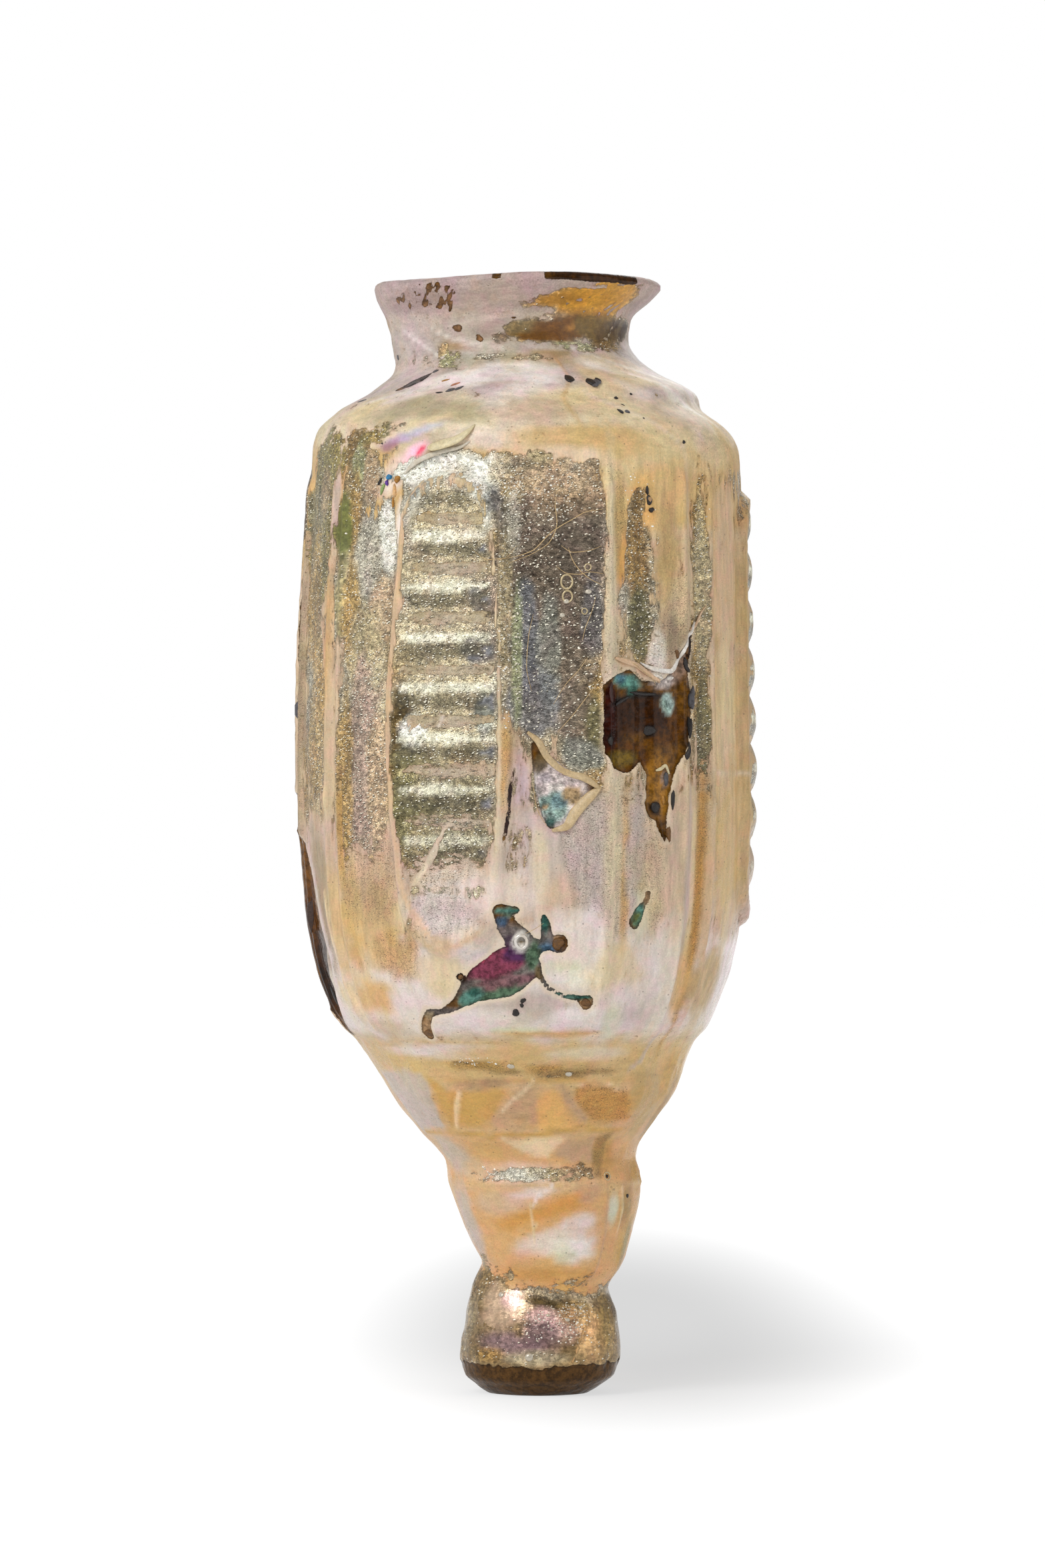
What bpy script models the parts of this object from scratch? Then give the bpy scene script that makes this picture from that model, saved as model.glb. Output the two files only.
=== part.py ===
"""Panelled glass flask on a pinched knob foot, modelled as one hollow blown piece.

The surface is a stack of rings.  A ring has a height, a radius from the profile, a centre
that drifts sideways as the hand-blown axis does, and a relief that raises or sinks it:
three arched panels of cross ribs, flat panels, upright ridges and flutes, and a faceted funnel.
Angles are in degrees from the front (-Y), growing towards the right-hand side (+X).
"""

import bpy
import bmesh
import numpy as np

# Driving dimensions, in metres
HEIGHT = 0.140
RIM_R = 0.0181
NECK_R = 0.0150
BODY_R = 0.0283
PINCH_R = 0.0080
FOOT_R = 0.0100
FOOT_FLAT_R = 0.0063
WALL = 0.0020
STEM_WALL = 0.0030
LIP = 0.0016
LIP_DIP = 0.0006
LIP_DIP_AT = -38.0
LIP_DIP_HALF = 62.0

# Heights of the main stations
PINCH_Z = 0.0148
RING_Z = 0.0276
LEDGE_Z = 0.0326
SEAM_Z = 0.0444
SHOULDER_Z = 0.1184
NECK_Z = 0.1323
RIM_Z = 0.1390
WELL_Z = 0.0205
WELL_ROUND_Z = 0.0262

# Ribbed panels: an upright capsule outline, bowed a little wider at the body's middle,
# inside a raised frame.
# For each: its angle, the foot and the head of its outline, and the height of a rib's crest.
PANELS = (
    (-19.3, 0.0565, 0.1130, 0.1065),
    (88.5, 0.0605, 0.1117, 0.1096),
    (206.0, 0.0575, 0.1125, 0.1065),
)
PANEL_HALF_W = 0.0052
PANEL_BOW = 0.0016
PANEL_BOW_Z = 0.0840
PANEL_BOW_HALF_H = 0.0290
FRAME_RAISE = 0.0011
FRAME_W = 0.0009
FRAME_SLOPE = 0.0010
BEAD_W = 0.0008
BEAD_DROP = 0.00075
RIB_PITCH = 0.0062
RIB_DEPTH = 0.0008

# Upright work between the ribbed panels, as offsets from the panel to its left
FLAT_SPAN = (16.3, 38.8)
FLAT_DEPTH = 0.0006
RIDGES = (40.8, 64.1, 74.9)
RIDGE_H = 0.0006
RIDGE_HALF_W = 0.0010
FLUTES = ((48.4, 54.3), (66.1, 72.9))
FLUTE_DEPTH = 0.0004
LEFT_RIDGES = (-59.0, -53.8)
UPRIGHT_BOTTOM = 0.0455
UPRIGHT_TOP = 0.1165
UPRIGHT_FADE = 0.0035

# Funnel facets and the leaning groove of the pinch
FACET_CORNERS = (-46.0, 46.0, 118.0, 185.0, 250.0)
FACET_SIDE_HALF = 35.0
FACET_BLEND = 0.30
FACET_MID_Z = 0.0375
FACET_HALF_H = 0.0068
PINCH_LEAN = 0.20
PINCH_LEAN_AT = 42.0
PINCH_LEAN_HALF_H = 0.0060

# Mesh fineness: columns round the plain rings, the narrowest and widest gaps between the
# body's columns in degrees, the gap outside a panel's frame, how far beyond the frame the
# columns still follow its bow, rings to each rib, how many in all and how often one goes
# right round the body, and the rings of the rounded lip and of the well's round end
PLAIN_COLUMNS = 36
INNER_COLUMNS = 24
NARROWEST_GAP = 0.7
OUTER_GAP = 1.2
BOW_FADE = 0.0030
WIDEST_GAP = 8.5
RINGS_PER_RIB = 4
RIB_RINGS = 32
ROUND_EVERY = 6
LIP_STEPS = 4
LIP_START = 27.0
WELL_STEPS = 3
SLOPE_STEP = 0.0002
SHARP_ANGLE = 50.0

GLASS_COLOUR = (0.80, 0.66, 0.46, 1.0)
GLASS_ROUGHNESS = 0.28
GLASS_METALLIC = 0.25

# The profile, foot to rim: height, radius
PROFILE = (
    (0.0, FOOT_FLAT_R),
    (0.0009, 0.0078),
    (0.0024, 0.0096),
    (0.0046, FOOT_R),
    (0.0090, 0.0095),
    (0.0124, 0.0088),
    (PINCH_Z, PINCH_R),
    (0.0174, 0.0093),
    (0.0208, 0.0105),
    (RING_Z, 0.0121),
    (0.0292, 0.0120),
    (0.0309, 0.0126),
    (LEDGE_Z, 0.0139),
    (0.0376, 0.0175),
    (0.0427, 0.0202),
    (SEAM_Z, 0.0213),
    (0.0460, 0.0229),
    (0.0494, 0.0246),
    (0.0536, 0.0261),
    (0.0620, 0.0276),
    (0.0760, BODY_R),
    (0.0915, 0.0281),
    (0.1096, 0.0274),
    (SHOULDER_Z, 0.0270),
    (0.1210, 0.0260),
    (0.1235, 0.0232),
    (0.1260, 0.0204),
    (0.1285, 0.0166),
    (0.1302, 0.0154),
    (NECK_Z, NECK_R),
    (0.1353, 0.0155),
    (0.1378, 0.0174),
    (RIM_Z, RIM_R),
)

# How far the axis drifts to the side: height, offset along X
DRIFT = (
    (0.0, 0.0),
    (0.0046, 0.0003),
    (0.0124, 0.0004),
    (0.0174, 0.0014),
    (RING_Z, 0.0007),
    (LEDGE_Z, -0.0005),
    (0.0376, -0.0006),
    (0.0427, -0.0014),
    (0.0460, -0.0017),
    (0.0536, -0.0018),
    (0.0915, -0.0019),
    (SHOULDER_Z, -0.0016),
    (0.1235, -0.0023),
    (0.1260, -0.0007),
    (NECK_Z, -0.0035),
    (0.1353, -0.0037),
    (RIM_Z, -0.0026),
)

# Heights of the rings: the foot, stem and funnel; the body's foot and head, right round;
# further ones on the ribbed panels' ends; the shoulder and neck; the hollow, mouth to well
LOW_LEVELS = (0.0, 0.0009, 0.0024, 0.0046, 0.0072, 0.0098, 0.0118, 0.0134, PINCH_Z, 0.0160,
              0.0176, 0.0205, 0.0240, RING_Z, 0.0292, 0.0309, LEDGE_Z, 0.0350, 0.0376, 0.0404,
              0.0427)
BODY_FOOT_LEVELS = (SEAM_Z, 0.0460, 0.0478, 0.0499, 0.0522, 0.0545)
BODY_HEAD_LEVELS = (0.1096, 0.1130, 0.1149, 0.1165)
PANEL_END_LEVELS = (0.0535, 0.0556, 0.0567, 0.1081, 0.1108, 0.1119, 0.1140)
HIGH_LEVELS = (SHOULDER_Z, 0.1198, 0.1210, 0.1223, 0.1235, 0.1248, 0.1260, 0.1273, 0.1285,
               0.1302, NECK_Z, 0.1340, 0.1353, 0.1366, 0.1378, RIM_Z)
HOLLOW_LEVELS = (0.1378, 0.1353, NECK_Z, 0.1302, 0.1285, 0.1260, 0.1235, 0.1210, SHOULDER_Z,
                 0.1096, 0.0915, 0.0760, 0.0620, 0.0536, 0.0494, 0.0460, 0.0427, 0.0376,
                 LEDGE_Z, RING_Z, WELL_ROUND_Z)


def smooth_curve(stations, at):
    """Monotone cubic through the stations: it never overshoots between two of them."""
    x, y = np.array(stations).T
    step = np.diff(x)
    slope = np.diff(y) / step
    tangent = np.zeros_like(y)
    tangent[0], tangent[-1] = slope[0], slope[-1]
    weight_a = 2.0 * step[1:] + step[:-1]
    weight_b = step[1:] + 2.0 * step[:-1]
    same_way = slope[:-1] * slope[1:] > 0.0
    safe_a = np.where(same_way, slope[:-1], 1.0)
    safe_b = np.where(same_way, slope[1:], 1.0)
    mean = (weight_a + weight_b) / (weight_a / safe_a + weight_b / safe_b)
    tangent[1:-1] = np.where(same_way, mean, 0.0)
    at = np.clip(at, x[0], x[-1])
    cell = np.clip(np.searchsorted(x, at) - 1, 0, len(step) - 1)
    h = step[cell]
    t = (at - x[cell]) / h
    return (y[cell] * (1 + 2 * t) * (1 - t) ** 2 + tangent[cell] * h * t * (1 - t) ** 2
            + y[cell + 1] * t * t * (3 - 2 * t) - tangent[cell + 1] * h * t * t * (1 - t))


def ease(x, start, end):
    """0 before start, 1 after end, smooth between."""
    t = np.clip((x - start) / (end - start), 0.0, 1.0)
    return t * t * (3.0 - 2.0 * t)


def hump(x, half):
    """A rounded hump: 1 at x = 0, falling to 0 at x = +-half."""
    return 0.5 * (1.0 + np.cos(np.pi * np.clip(x / half, -1.0, 1.0)))


def turn(angle, centre):
    """Signed angle from the centre, within a half turn."""
    return (angle - centre + 180.0) % 360.0 - 180.0


def upright_mask(z):
    """Where the upright ridges, flutes and flat panels run, faded at both ends."""
    return (ease(z, UPRIGHT_BOTTOM, UPRIGHT_BOTTOM + UPRIGHT_FADE)
            * (1.0 - ease(z, UPRIGHT_TOP - UPRIGHT_FADE, UPRIGHT_TOP)))


def bow(z):
    """How much wider than at its ends a ribbed panel is, to each side."""
    return PANEL_BOW * hump(z - PANEL_BOW_Z, PANEL_BOW_HALF_H)


def ribbed_panel(angle, z, centre, foot, head, crest):
    """A raised capsule frame with convex cross ribs sunk a little inside it.

    The distance to the capsule outline is the distance to its upright middle line, less
    the half width; it is negative inside.  A rib's section is a parabola.
    """
    across = np.radians(turn(angle, centre)) * BODY_R
    along = z - np.clip(z, foot + PANEL_HALF_W, head - PANEL_HALF_W)
    outside = np.hypot(across, along) - PANEL_HALF_W - bow(z)
    frame = FRAME_RAISE * (1.0 - ease(outside, FRAME_W, FRAME_W + FRAME_SLOPE))
    inside = ease(-outside, 0.0, BEAD_W)
    phase = (z - crest) / RIB_PITCH
    roll = 1.0 - (2.0 * (phase - np.round(phase))) ** 2
    return frame + inside * (RIB_DEPTH * roll - BEAD_DROP)


def relief(angle, z):
    """Everything that the mould raised or sank on the body."""
    upright = np.zeros(np.broadcast(angle, z).shape)
    panels = upright
    hollows = [(FLAT_SPAN, FLAT_DEPTH)] + [(flute, FLUTE_DEPTH) for flute in FLUTES]
    for centre, foot, head, crest in PANELS:
        panels = panels + ribbed_panel(angle, z, centre, foot, head, crest)
        for (start, end), depth in hollows:
            across = turn(angle, centre + 0.5 * (start + end)) / (0.5 * (end - start))
            upright = upright - depth * np.clip(1.0 - across ** 2, 0.0, 1.0)
    for angle_at in ridge_angles():
        arc = np.radians(turn(angle, angle_at)) * BODY_R
        upright = upright + RIDGE_H * hump(arc, RIDGE_HALF_W)
    return panels + upright * upright_mask(z)


def ridge_angles():
    """Where the upright ridges stand."""
    return list(LEFT_RIDGES) + [panel[0] + offset for panel in PANELS for offset in RIDGES]


def facet_factor(angle, z):
    """The funnel's cross-section goes part of the way from a circle to a polygon."""
    corners = np.array(FACET_CORNERS + (FACET_CORNERS[0] + 360.0,))
    angle = (angle - corners[0]) % 360.0 + corners[0]
    side = np.clip(np.searchsorted(corners, angle, side="right") - 1, 0, len(corners) - 2)
    half = 0.5 * (corners[side + 1] - corners[side])
    middle = corners[side] + half
    polygon = np.cos(np.radians(half)) / np.cos(np.radians(angle - middle))
    at_side = np.cos(np.radians(FACET_SIDE_HALF))
    return 1.0 + FACET_BLEND * hump(z - FACET_MID_Z, FACET_HALF_H) * (polygon / at_side - 1.0)


def lean(angle, z, radius):
    """The groove of the pinch leans: its ring drops on one side and rises on the other."""
    amount = PINCH_LEAN * hump(z - PINCH_Z, PINCH_LEAN_HALF_H)
    return -amount * radius * np.cos(np.radians(angle - PINCH_LEAN_AT))


def place(angle, radius, z, level):
    """Points of one ring, its centre drifted as the axis is at the given level."""
    turned = np.radians(angle)
    x = smooth_curve(DRIFT, level) + radius * np.sin(turned)
    y = -radius * np.cos(turned)
    return np.stack(np.broadcast_arrays(x, y, z), axis=-1)


def outer_ring(angle, z):
    """A ring of the outside, with all its relief."""
    radius = smooth_curve(PROFILE, z) * facet_factor(angle, z) + relief(angle, z)
    return place(angle, radius, z + lean(angle, z, radius), z)


def inner_ring(angle, z):
    """A ring of the inside: the plain profile moved in, square to itself, by the wall."""
    above = smooth_curve(PROFILE, z + SLOPE_STEP)
    below = smooth_curve(PROFILE, z - SLOPE_STEP)
    rise = (above - below) / (2 * SLOPE_STEP)
    wall = WALL + (STEM_WALL - WALL) * (1.0 - ease(z, RING_Z, SEAM_Z))
    length = np.hypot(1.0, rise)
    radius = (smooth_curve(PROFILE, z) - wall / length) * facet_factor(angle, z)
    return place(angle, radius, z + wall * rise / length, z)


def bowed(columns, z):
    """The columns at one height: those along a ribbed panel's edge follow its bow."""
    edge = PANEL_HALF_W + FRAME_W + FRAME_SLOPE
    for centre in (panel[0] for panel in PANELS):
        across = np.radians(turn(columns, centre)) * BODY_R
        reach = np.abs(across)
        follow = np.clip(reach / PANEL_HALF_W, 0.0, 1.0) * (1.0 - np.clip(
            (reach - edge) / BOW_FADE, 0.0, 1.0))
        columns = columns + np.degrees(np.sign(across) * follow * bow(z) / BODY_R)
    return columns


def body_columns():
    """Angles of the body's columns, at every edge of the relief, with wide gaps filled evenly.

    The second list says which columns cross a ribbed panel, and so take its finer rings.
    """
    half = np.degrees(PANEL_HALF_W / BODY_R)
    bead = np.degrees(BEAD_W / BODY_R)
    frame = np.degrees(FRAME_W / BODY_R)
    slope = np.degrees(FRAME_SLOPE / BODY_R)
    ridge = np.degrees(RIDGE_HALF_W / BODY_R)
    edges = (0.5 * (half - bead), half - bead, half, half + frame, half + frame + slope,
             half + frame + slope + OUTER_GAP)
    marks = [at + side * ridge for at in ridge_angles() for side in (-1.0, 0.0, 1.0)]
    for centre in (panel[0] for panel in PANELS):
        marks += [centre] + [centre + side * edge for edge in edges for side in (-1.0, 1.0)]
        marks += [centre + edge for flute in FLUTES for edge in flute]
        marks += [centre + 0.5 * sum(flute) for flute in FLUTES]
    marks = sorted(mark % 360.0 for mark in marks)
    columns = []
    for mark, following in zip(marks, marks[1:] + [marks[0] + 360.0]):
        gap = following - mark
        if gap < NARROWEST_GAP:
            continue
        pieces = int(np.ceil(gap / WIDEST_GAP))
        columns += [mark + gap * k / pieces for k in range(pieces)]
    columns = np.array(columns)
    reach = edges[-1] + 0.5 * NARROWEST_GAP
    fine = np.any([np.abs(turn(columns, panel[0])) < reach for panel in PANELS], axis=0)
    return columns, fine


def body_levels():
    """Heights of the body's rings, and which of them go right round it.

    The others cross only the ribbed panels: several to each rib, and more at the arches.
    """
    step = RIB_PITCH / RINGS_PER_RIB
    ribs = [PANELS[0][3] - k * step for k in range(RIB_RINGS)]
    around = set(BODY_FOOT_LEVELS + BODY_HEAD_LEVELS + tuple(ribs[::ROUND_EVERY]))
    levels = sorted(around | set(ribs) | set(PANEL_END_LEVELS))
    return levels, [level in around for level in levels]


def plain_angles(count):
    """Evenly spaced columns."""
    return np.arange(count) * 360.0 / count


def lip_rings(angle):
    """The rounded lip: a half circle carried from the outside over to the inside."""
    bead = LIP / 2
    middle = RIM_R - bead
    around = np.linspace(np.radians(LIP_START), np.pi, LIP_STEPS)
    rings = []
    for turned in around:
        radius = middle + bead * np.cos(turned)
        dip = LIP_DIP * hump(turn(angle, LIP_DIP_AT), LIP_DIP_HALF)
        height = HEIGHT - bead + bead * np.sin(turned) - dip
        rings.append(place(angle, radius, height, RIM_Z))
    return rings


def well_rings(angle):
    """The rounded end of the hollow, a quarter ellipse down to the well's floor."""
    start = inner_ring(angle, WELL_ROUND_Z)
    level = float(start[0, 2])
    radius = float(np.hypot(start[0, 0] - smooth_curve(DRIFT, WELL_ROUND_Z), start[0, 1]))
    rings = []
    for step in range(1, WELL_STEPS + 1):
        turned = 0.5 * np.pi * step / (WELL_STEPS + 1)
        height = level - (level - WELL_Z) * np.sin(turned)
        rings.append(place(angle, radius * np.cos(turned), height, WELL_ROUND_Z))
    return rings


def stitch(faces, lower, upper, lower_angle, upper_angle):
    """Faces between two rings: quads where columns match, triangles where they don't."""
    if len(lower) == len(upper) and np.allclose(lower_angle, upper_angle):
        count = len(lower)
        for i in range(count):
            j = (i + 1) % count
            faces.append((lower[i], lower[j], upper[j], upper[i]))
        return
    a = b = 0
    lower_turn = np.append(lower_angle, lower_angle[0] + 360.0)
    upper_turn = np.append(upper_angle, upper_angle[0] + 360.0)
    while a < len(lower) or b < len(upper):
        step_lower = b >= len(upper) or (a < len(lower) and lower_turn[a + 1] <= upper_turn[b + 1])
        here_a, here_b = lower[a % len(lower)], upper[b % len(upper)]
        if step_lower:
            a += 1
            faces.append((here_a, lower[a % len(lower)], here_b))
        else:
            b += 1
            faces.append((here_a, upper[b % len(upper)], here_b))


def add_ring(points, ring):
    """Add a ring's points, and give back their numbers."""
    start = len(points)
    points += ring.tolist()
    return list(range(start, len(points)))


def add_body(points, faces, columns, fine):
    """The body between its lowest and highest ring; gives back those two rings.

    Every column has a point on each ring that goes round, and those across a ribbed panel
    also have one on each finer ring.  A cell between a plain column and a fine one is a
    polygon.
    """
    levels, around = body_levels()
    number = np.full((len(levels), len(columns)), -1)
    for k, level in enumerate(levels):
        used = np.flatnonzero(fine | around[k])
        number[k, used] = add_ring(points, outer_ring(bowed(columns, level)[used], level))
    round_rows = np.flatnonzero(around)
    for i in range(len(columns)):
        j = (i + 1) % len(columns)
        for low, high in zip(round_rows, round_rows[1:]):
            left = [n for n in number[low:high + 1, i] if n >= 0]
            right = [n for n in number[low:high + 1, j] if n >= 0]
            if len(left) == len(right):
                faces += list(zip(left, right, right[1:], left[1:]))
            else:
                faces.append(left + right[::-1])
    return number[0].tolist(), number[-1].tolist()


def flask_mesh():
    """Stack the rings from the foot's flat, over the lip, down to the well, and close them."""
    columns, fine = body_columns()
    plain = plain_angles(PLAIN_COLUMNS)
    inner = plain_angles(INNER_COLUMNS)
    points, faces = [], []
    lowest, highest = add_body(points, faces, columns, fine)
    below = [(plain, add_ring(points, outer_ring(plain, z))) for z in LOW_LEVELS]
    above = [(plain, add_ring(points, outer_ring(plain, z))) for z in HIGH_LEVELS]
    above += [(plain, add_ring(points, ring)) for ring in lip_rings(plain)]
    above += [(inner, add_ring(points, inner_ring(inner, z))) for z in HOLLOW_LEVELS]
    above += [(inner, add_ring(points, ring)) for ring in well_rings(inner)]
    for stack in (below + [(columns, lowest)], [(columns, highest)] + above):
        for (lower_angle, lower), (upper_angle, upper) in zip(stack, stack[1:]):
            stitch(faces, lower, upper, lower_angle, upper_angle)
    faces.append(below[0][1])
    faces.append(above[-1][1])

    mesh = bpy.data.meshes.new("flask")
    shape = bmesh.new()
    corners = [shape.verts.new(point) for point in points]
    for face in faces:
        shape.faces.new([corners[i] for i in face])
    wall = [face for face in shape.faces if len(face.verts) < INNER_COLUMNS]
    bmesh.ops.triangulate(shape, faces=wall, quad_method="SHORT_EDGE")
    bmesh.ops.recalc_face_normals(shape, faces=shape.faces)
    shape.to_mesh(mesh)
    shape.free()
    mesh.shade_smooth()
    mesh.set_sharp_from_angle(angle=np.radians(SHARP_ANGLE))
    return mesh


def glass_material():
    """Weathered glass: cream and gold, half metallic in its sheen."""
    material = bpy.data.materials.new("weathered_glass")
    material.use_nodes = True
    shader = material.node_tree.nodes["Principled BSDF"]
    shader.inputs["Base Color"].default_value = GLASS_COLOUR
    shader.inputs["Roughness"].default_value = GLASS_ROUGHNESS
    shader.inputs["Metallic"].default_value = GLASS_METALLIC
    return material


def clear_scene():
    """Start from an empty scene."""
    for item in list(bpy.data.objects):
        bpy.data.objects.remove(item, do_unlink=True)


def main():
    """Build the flask, standing on its foot at the origin."""
    clear_scene()
    flask = bpy.data.objects.new("flask", flask_mesh())
    flask.data.materials.append(glass_material())
    bpy.context.scene.collection.objects.link(flask)


main()
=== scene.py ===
"""Weathered mould-blown glass flask on a pinched knob foot: its looks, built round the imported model.

Sizes in the tables are millimetres and degrees.  Heights run up from the foot's flat, and angles run
from the front (-Y) towards the right-hand side (+X).  UNIT is one of those millimetres in the frame's
metres.  The flask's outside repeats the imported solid's own formulas, with the weathering laid over it:
a thin pearly crust, the places where it has flaked off the brown glass, and what sticks to it.
"""

import bmesh
import bpy
import numpy as np
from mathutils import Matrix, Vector


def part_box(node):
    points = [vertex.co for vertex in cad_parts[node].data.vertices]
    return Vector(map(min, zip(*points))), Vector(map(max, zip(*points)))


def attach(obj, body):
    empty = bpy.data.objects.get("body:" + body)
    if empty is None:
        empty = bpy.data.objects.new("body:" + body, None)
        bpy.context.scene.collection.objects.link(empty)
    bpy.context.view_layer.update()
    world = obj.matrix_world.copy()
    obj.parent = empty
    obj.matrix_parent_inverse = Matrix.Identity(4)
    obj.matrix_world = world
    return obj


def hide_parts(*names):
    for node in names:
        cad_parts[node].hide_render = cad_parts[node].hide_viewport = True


bl_info = {
    "name": "Weathered Glass Flask",
    "version": (1, 0, 0),
    "blender": (4, 5, 0),
    "location": "View3D > Sidebar > Flask",
    "description": "Dresses the packed flask in weathered glass and sets up its stage",
    "category": "Object",
}

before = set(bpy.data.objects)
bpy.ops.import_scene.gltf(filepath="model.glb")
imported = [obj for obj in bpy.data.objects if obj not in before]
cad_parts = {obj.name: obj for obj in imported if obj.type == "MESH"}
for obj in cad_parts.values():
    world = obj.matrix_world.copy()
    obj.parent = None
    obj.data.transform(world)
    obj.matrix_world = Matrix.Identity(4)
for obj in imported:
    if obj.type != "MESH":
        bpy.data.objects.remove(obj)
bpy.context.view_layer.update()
LOW, HIGH = (np.array(corner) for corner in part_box("flask"))
UNIT = float(HIGH[2] - LOW[2]) / 140.0
BODY = "root"
NODE = "flask"

# ---- The moulded form, as in the solid -------------------------------------

HEIGHT = 140.0
RIM_R = 18.1
BODY_R = 28.3
WALL = 2.0
STEM_WALL = 3.0
LIP = 1.6
LIP_DIP = 0.6
LIP_DIP_AT = -38.0
LIP_DIP_HALF = 62.0
PINCH_Z = 14.8
RING_Z = 27.6
LEDGE_Z = 32.6
SEAM_Z = 44.4
SHOULDER_Z = 118.4
NECK_Z = 132.3
RIM_Z = 139.0
WELL_Z = 20.5
WELL_ROUND_Z = 26.2

PANELS = (
    (-19.3, 56.5, 113, 106.5), (88.5, 60.5, 111.7, 109.6), (206, 57.5, 112.5, 106.5),
)
PANEL_HALF_W = 5.2
PANEL_BOW = 1.6
PANEL_BOW_Z = 84.0
PANEL_BOW_HALF_H = 29.0
FRAME_RAISE = 1.1
FRAME_W = 0.9
FRAME_SLOPE = 1.0
BEAD_W = 0.8
BEAD_DROP = 0.75
RIB_PITCH = 6.2
RIB_DEPTH = 0.8
FLAT_SPAN = (16.3, 38.8)
FLAT_DEPTH = 0.6
RIDGES = (40.8, 64.1, 74.9)
RIDGE_H = 0.6
RIDGE_HALF_W = 1.0
FLUTES = ((48.4, 54.3), (66.1, 72.9))
FLUTE_DEPTH = 0.4
LEFT_RIDGES = (-59.0, -53.8)
UPRIGHT_BOTTOM = 45.5
UPRIGHT_TOP = 116.5
UPRIGHT_FADE = 3.5
FACET_CORNERS = (-46.0, 46.0, 118.0, 185.0, 250.0)
FACET_SIDE_HALF = 35.0
FACET_BLEND = 0.30
FACET_MID_Z = 37.5
FACET_HALF_H = 6.8
PINCH_LEAN = 0.20
PINCH_LEAN_AT = 42.0
PINCH_LEAN_HALF_H = 6.0

PROFILE = (
    (0, 6.3), (0.9, 7.8), (2.4, 9.6), (4.6, 10), (9, 9.5), (12.4, 8.8), (PINCH_Z, 8), (17.4, 9.3),
    (20.8, 10.5), (RING_Z, 12.1), (29.2, 12), (30.9, 12.6), (LEDGE_Z, 13.9), (37.6, 17.5), (42.7, 20.2),
    (SEAM_Z, 21.3), (46, 22.9), (49.4, 24.6), (53.6, 26.1), (62, 27.6), (76, BODY_R), (91.5, 28.1),
    (109.6, 27.4), (SHOULDER_Z, 27), (121, 26), (123.5, 23.2), (126, 20.4), (128.5, 16.6),
    (130.2, 15.4), (NECK_Z, 15), (135.3, 15.5), (137.8, 17.4), (RIM_Z, RIM_R),
)
DRIFT = (
    (0, 0), (4.6, 0.3), (12.4, 0.4), (17.4, 1.4), (RING_Z, 0.7), (LEDGE_Z, -0.5), (37.6, -0.6),
    (42.7, -1.4), (46, -1.7), (53.6, -1.8), (91.5, -1.9), (SHOULDER_Z, -1.6), (123.5, -2.3),
    (126, -0.7), (NECK_Z, -3.5), (135.3, -3.7), (RIM_Z, -2.6),
)

# Mesh fineness: columns on the front and on the rest, how far the front goes to each side, how many
# outer columns meet one inner column, the rings' spacing up the outside, and the short stacks of rings
FRONT_COLUMNS = 252
BACK_COLUMNS = 80
FRONT_HALF = 105.0
INNER_SHARE = 4
SPACING = (
    (0, 0.42), (4.6, 0.52), (16, 0.66), (43, 0.62), (46, 0.55), (117, 0.55), (119, 0.6), (RIM_Z, 0.5),
)
INNER_SPACING = 2.2
BASE_RINGS = 5
LIP_STEPS = 7
LIP_START = 27.0
WELL_STEPS = 4
PROFILE_SAMPLES = 4000
SLOPE_STEP = 0.2
BOX_GAP = 0.00001
NOISE_CELLS = 32
OCTAVE_SHIFT = 7.3

# Noise: cell size, seed and octaves of the blown wall's unevenness, the crust's waves and grain, the
# drawing lines, the folds, the neck's swirls, the knob's crinkles, frayed and waved edges, flecks, the
# bands' wide waves, the drift between gold and silver foil, and the lip's wear
FIELDS = {
    "wall": (15.0, 3, 2), "waves": (2.4, 5, 2), "grain": (0.9, 6, 1), "streaks": (1.0, 7, 1),
    "folds": (4.5, 8, 2), "swirls": (2.6, 9, 2), "crinkles": (0.8, 10, 2), "fray": (1.1, 11, 2),
    "blur": (3.2, 12, 2), "drift": (5.0, 13, 3), "flecks": (0.44, 14, 2), "wide": (9.0, 15, 2),
    "lip": (2.2, 21, 2),
}
# Where an effect starts, is full, fades and ends: by angle the side with drawing lines, and by height
# the swirled neck; and the heights over which the folds of the lower end fade
STREAKED = (38.0, 50.0, 160.0, 200.0)
SWIRLED = (117.0, 120.0, 137.5, 139.0)
FOLDED = (42.0, 46.0)
# The hidden side: how far a place faces back, and its height, from none of it to all of it
TURNED_AWAY = (0.05, 0.5)
OFF_THE_FOOT = (20.0, 30.0)
# The crinkled foil of the knob: its height, half height and middle angle
CRINKLED = (9.5, 5.0, 10.0)
# The ribs: from where to where upwards their painted crest highlights are full, and they keep their flecks
# and the dark strips of painted shade
RIBS_BOLD = (62.0, 84.0)
RIBS_KEPT = (63.0, 76.0)
RIBS_DARK = (62.0, 72.0)

# A distance beyond every mark, and how open the crust counts as where it is whole and where it is gone
FAR = 1000.0
CLOSED = -3.0
OPEN = 2.0

# ---- The colours, as eight-bit display values, and the finishes ------------

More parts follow.
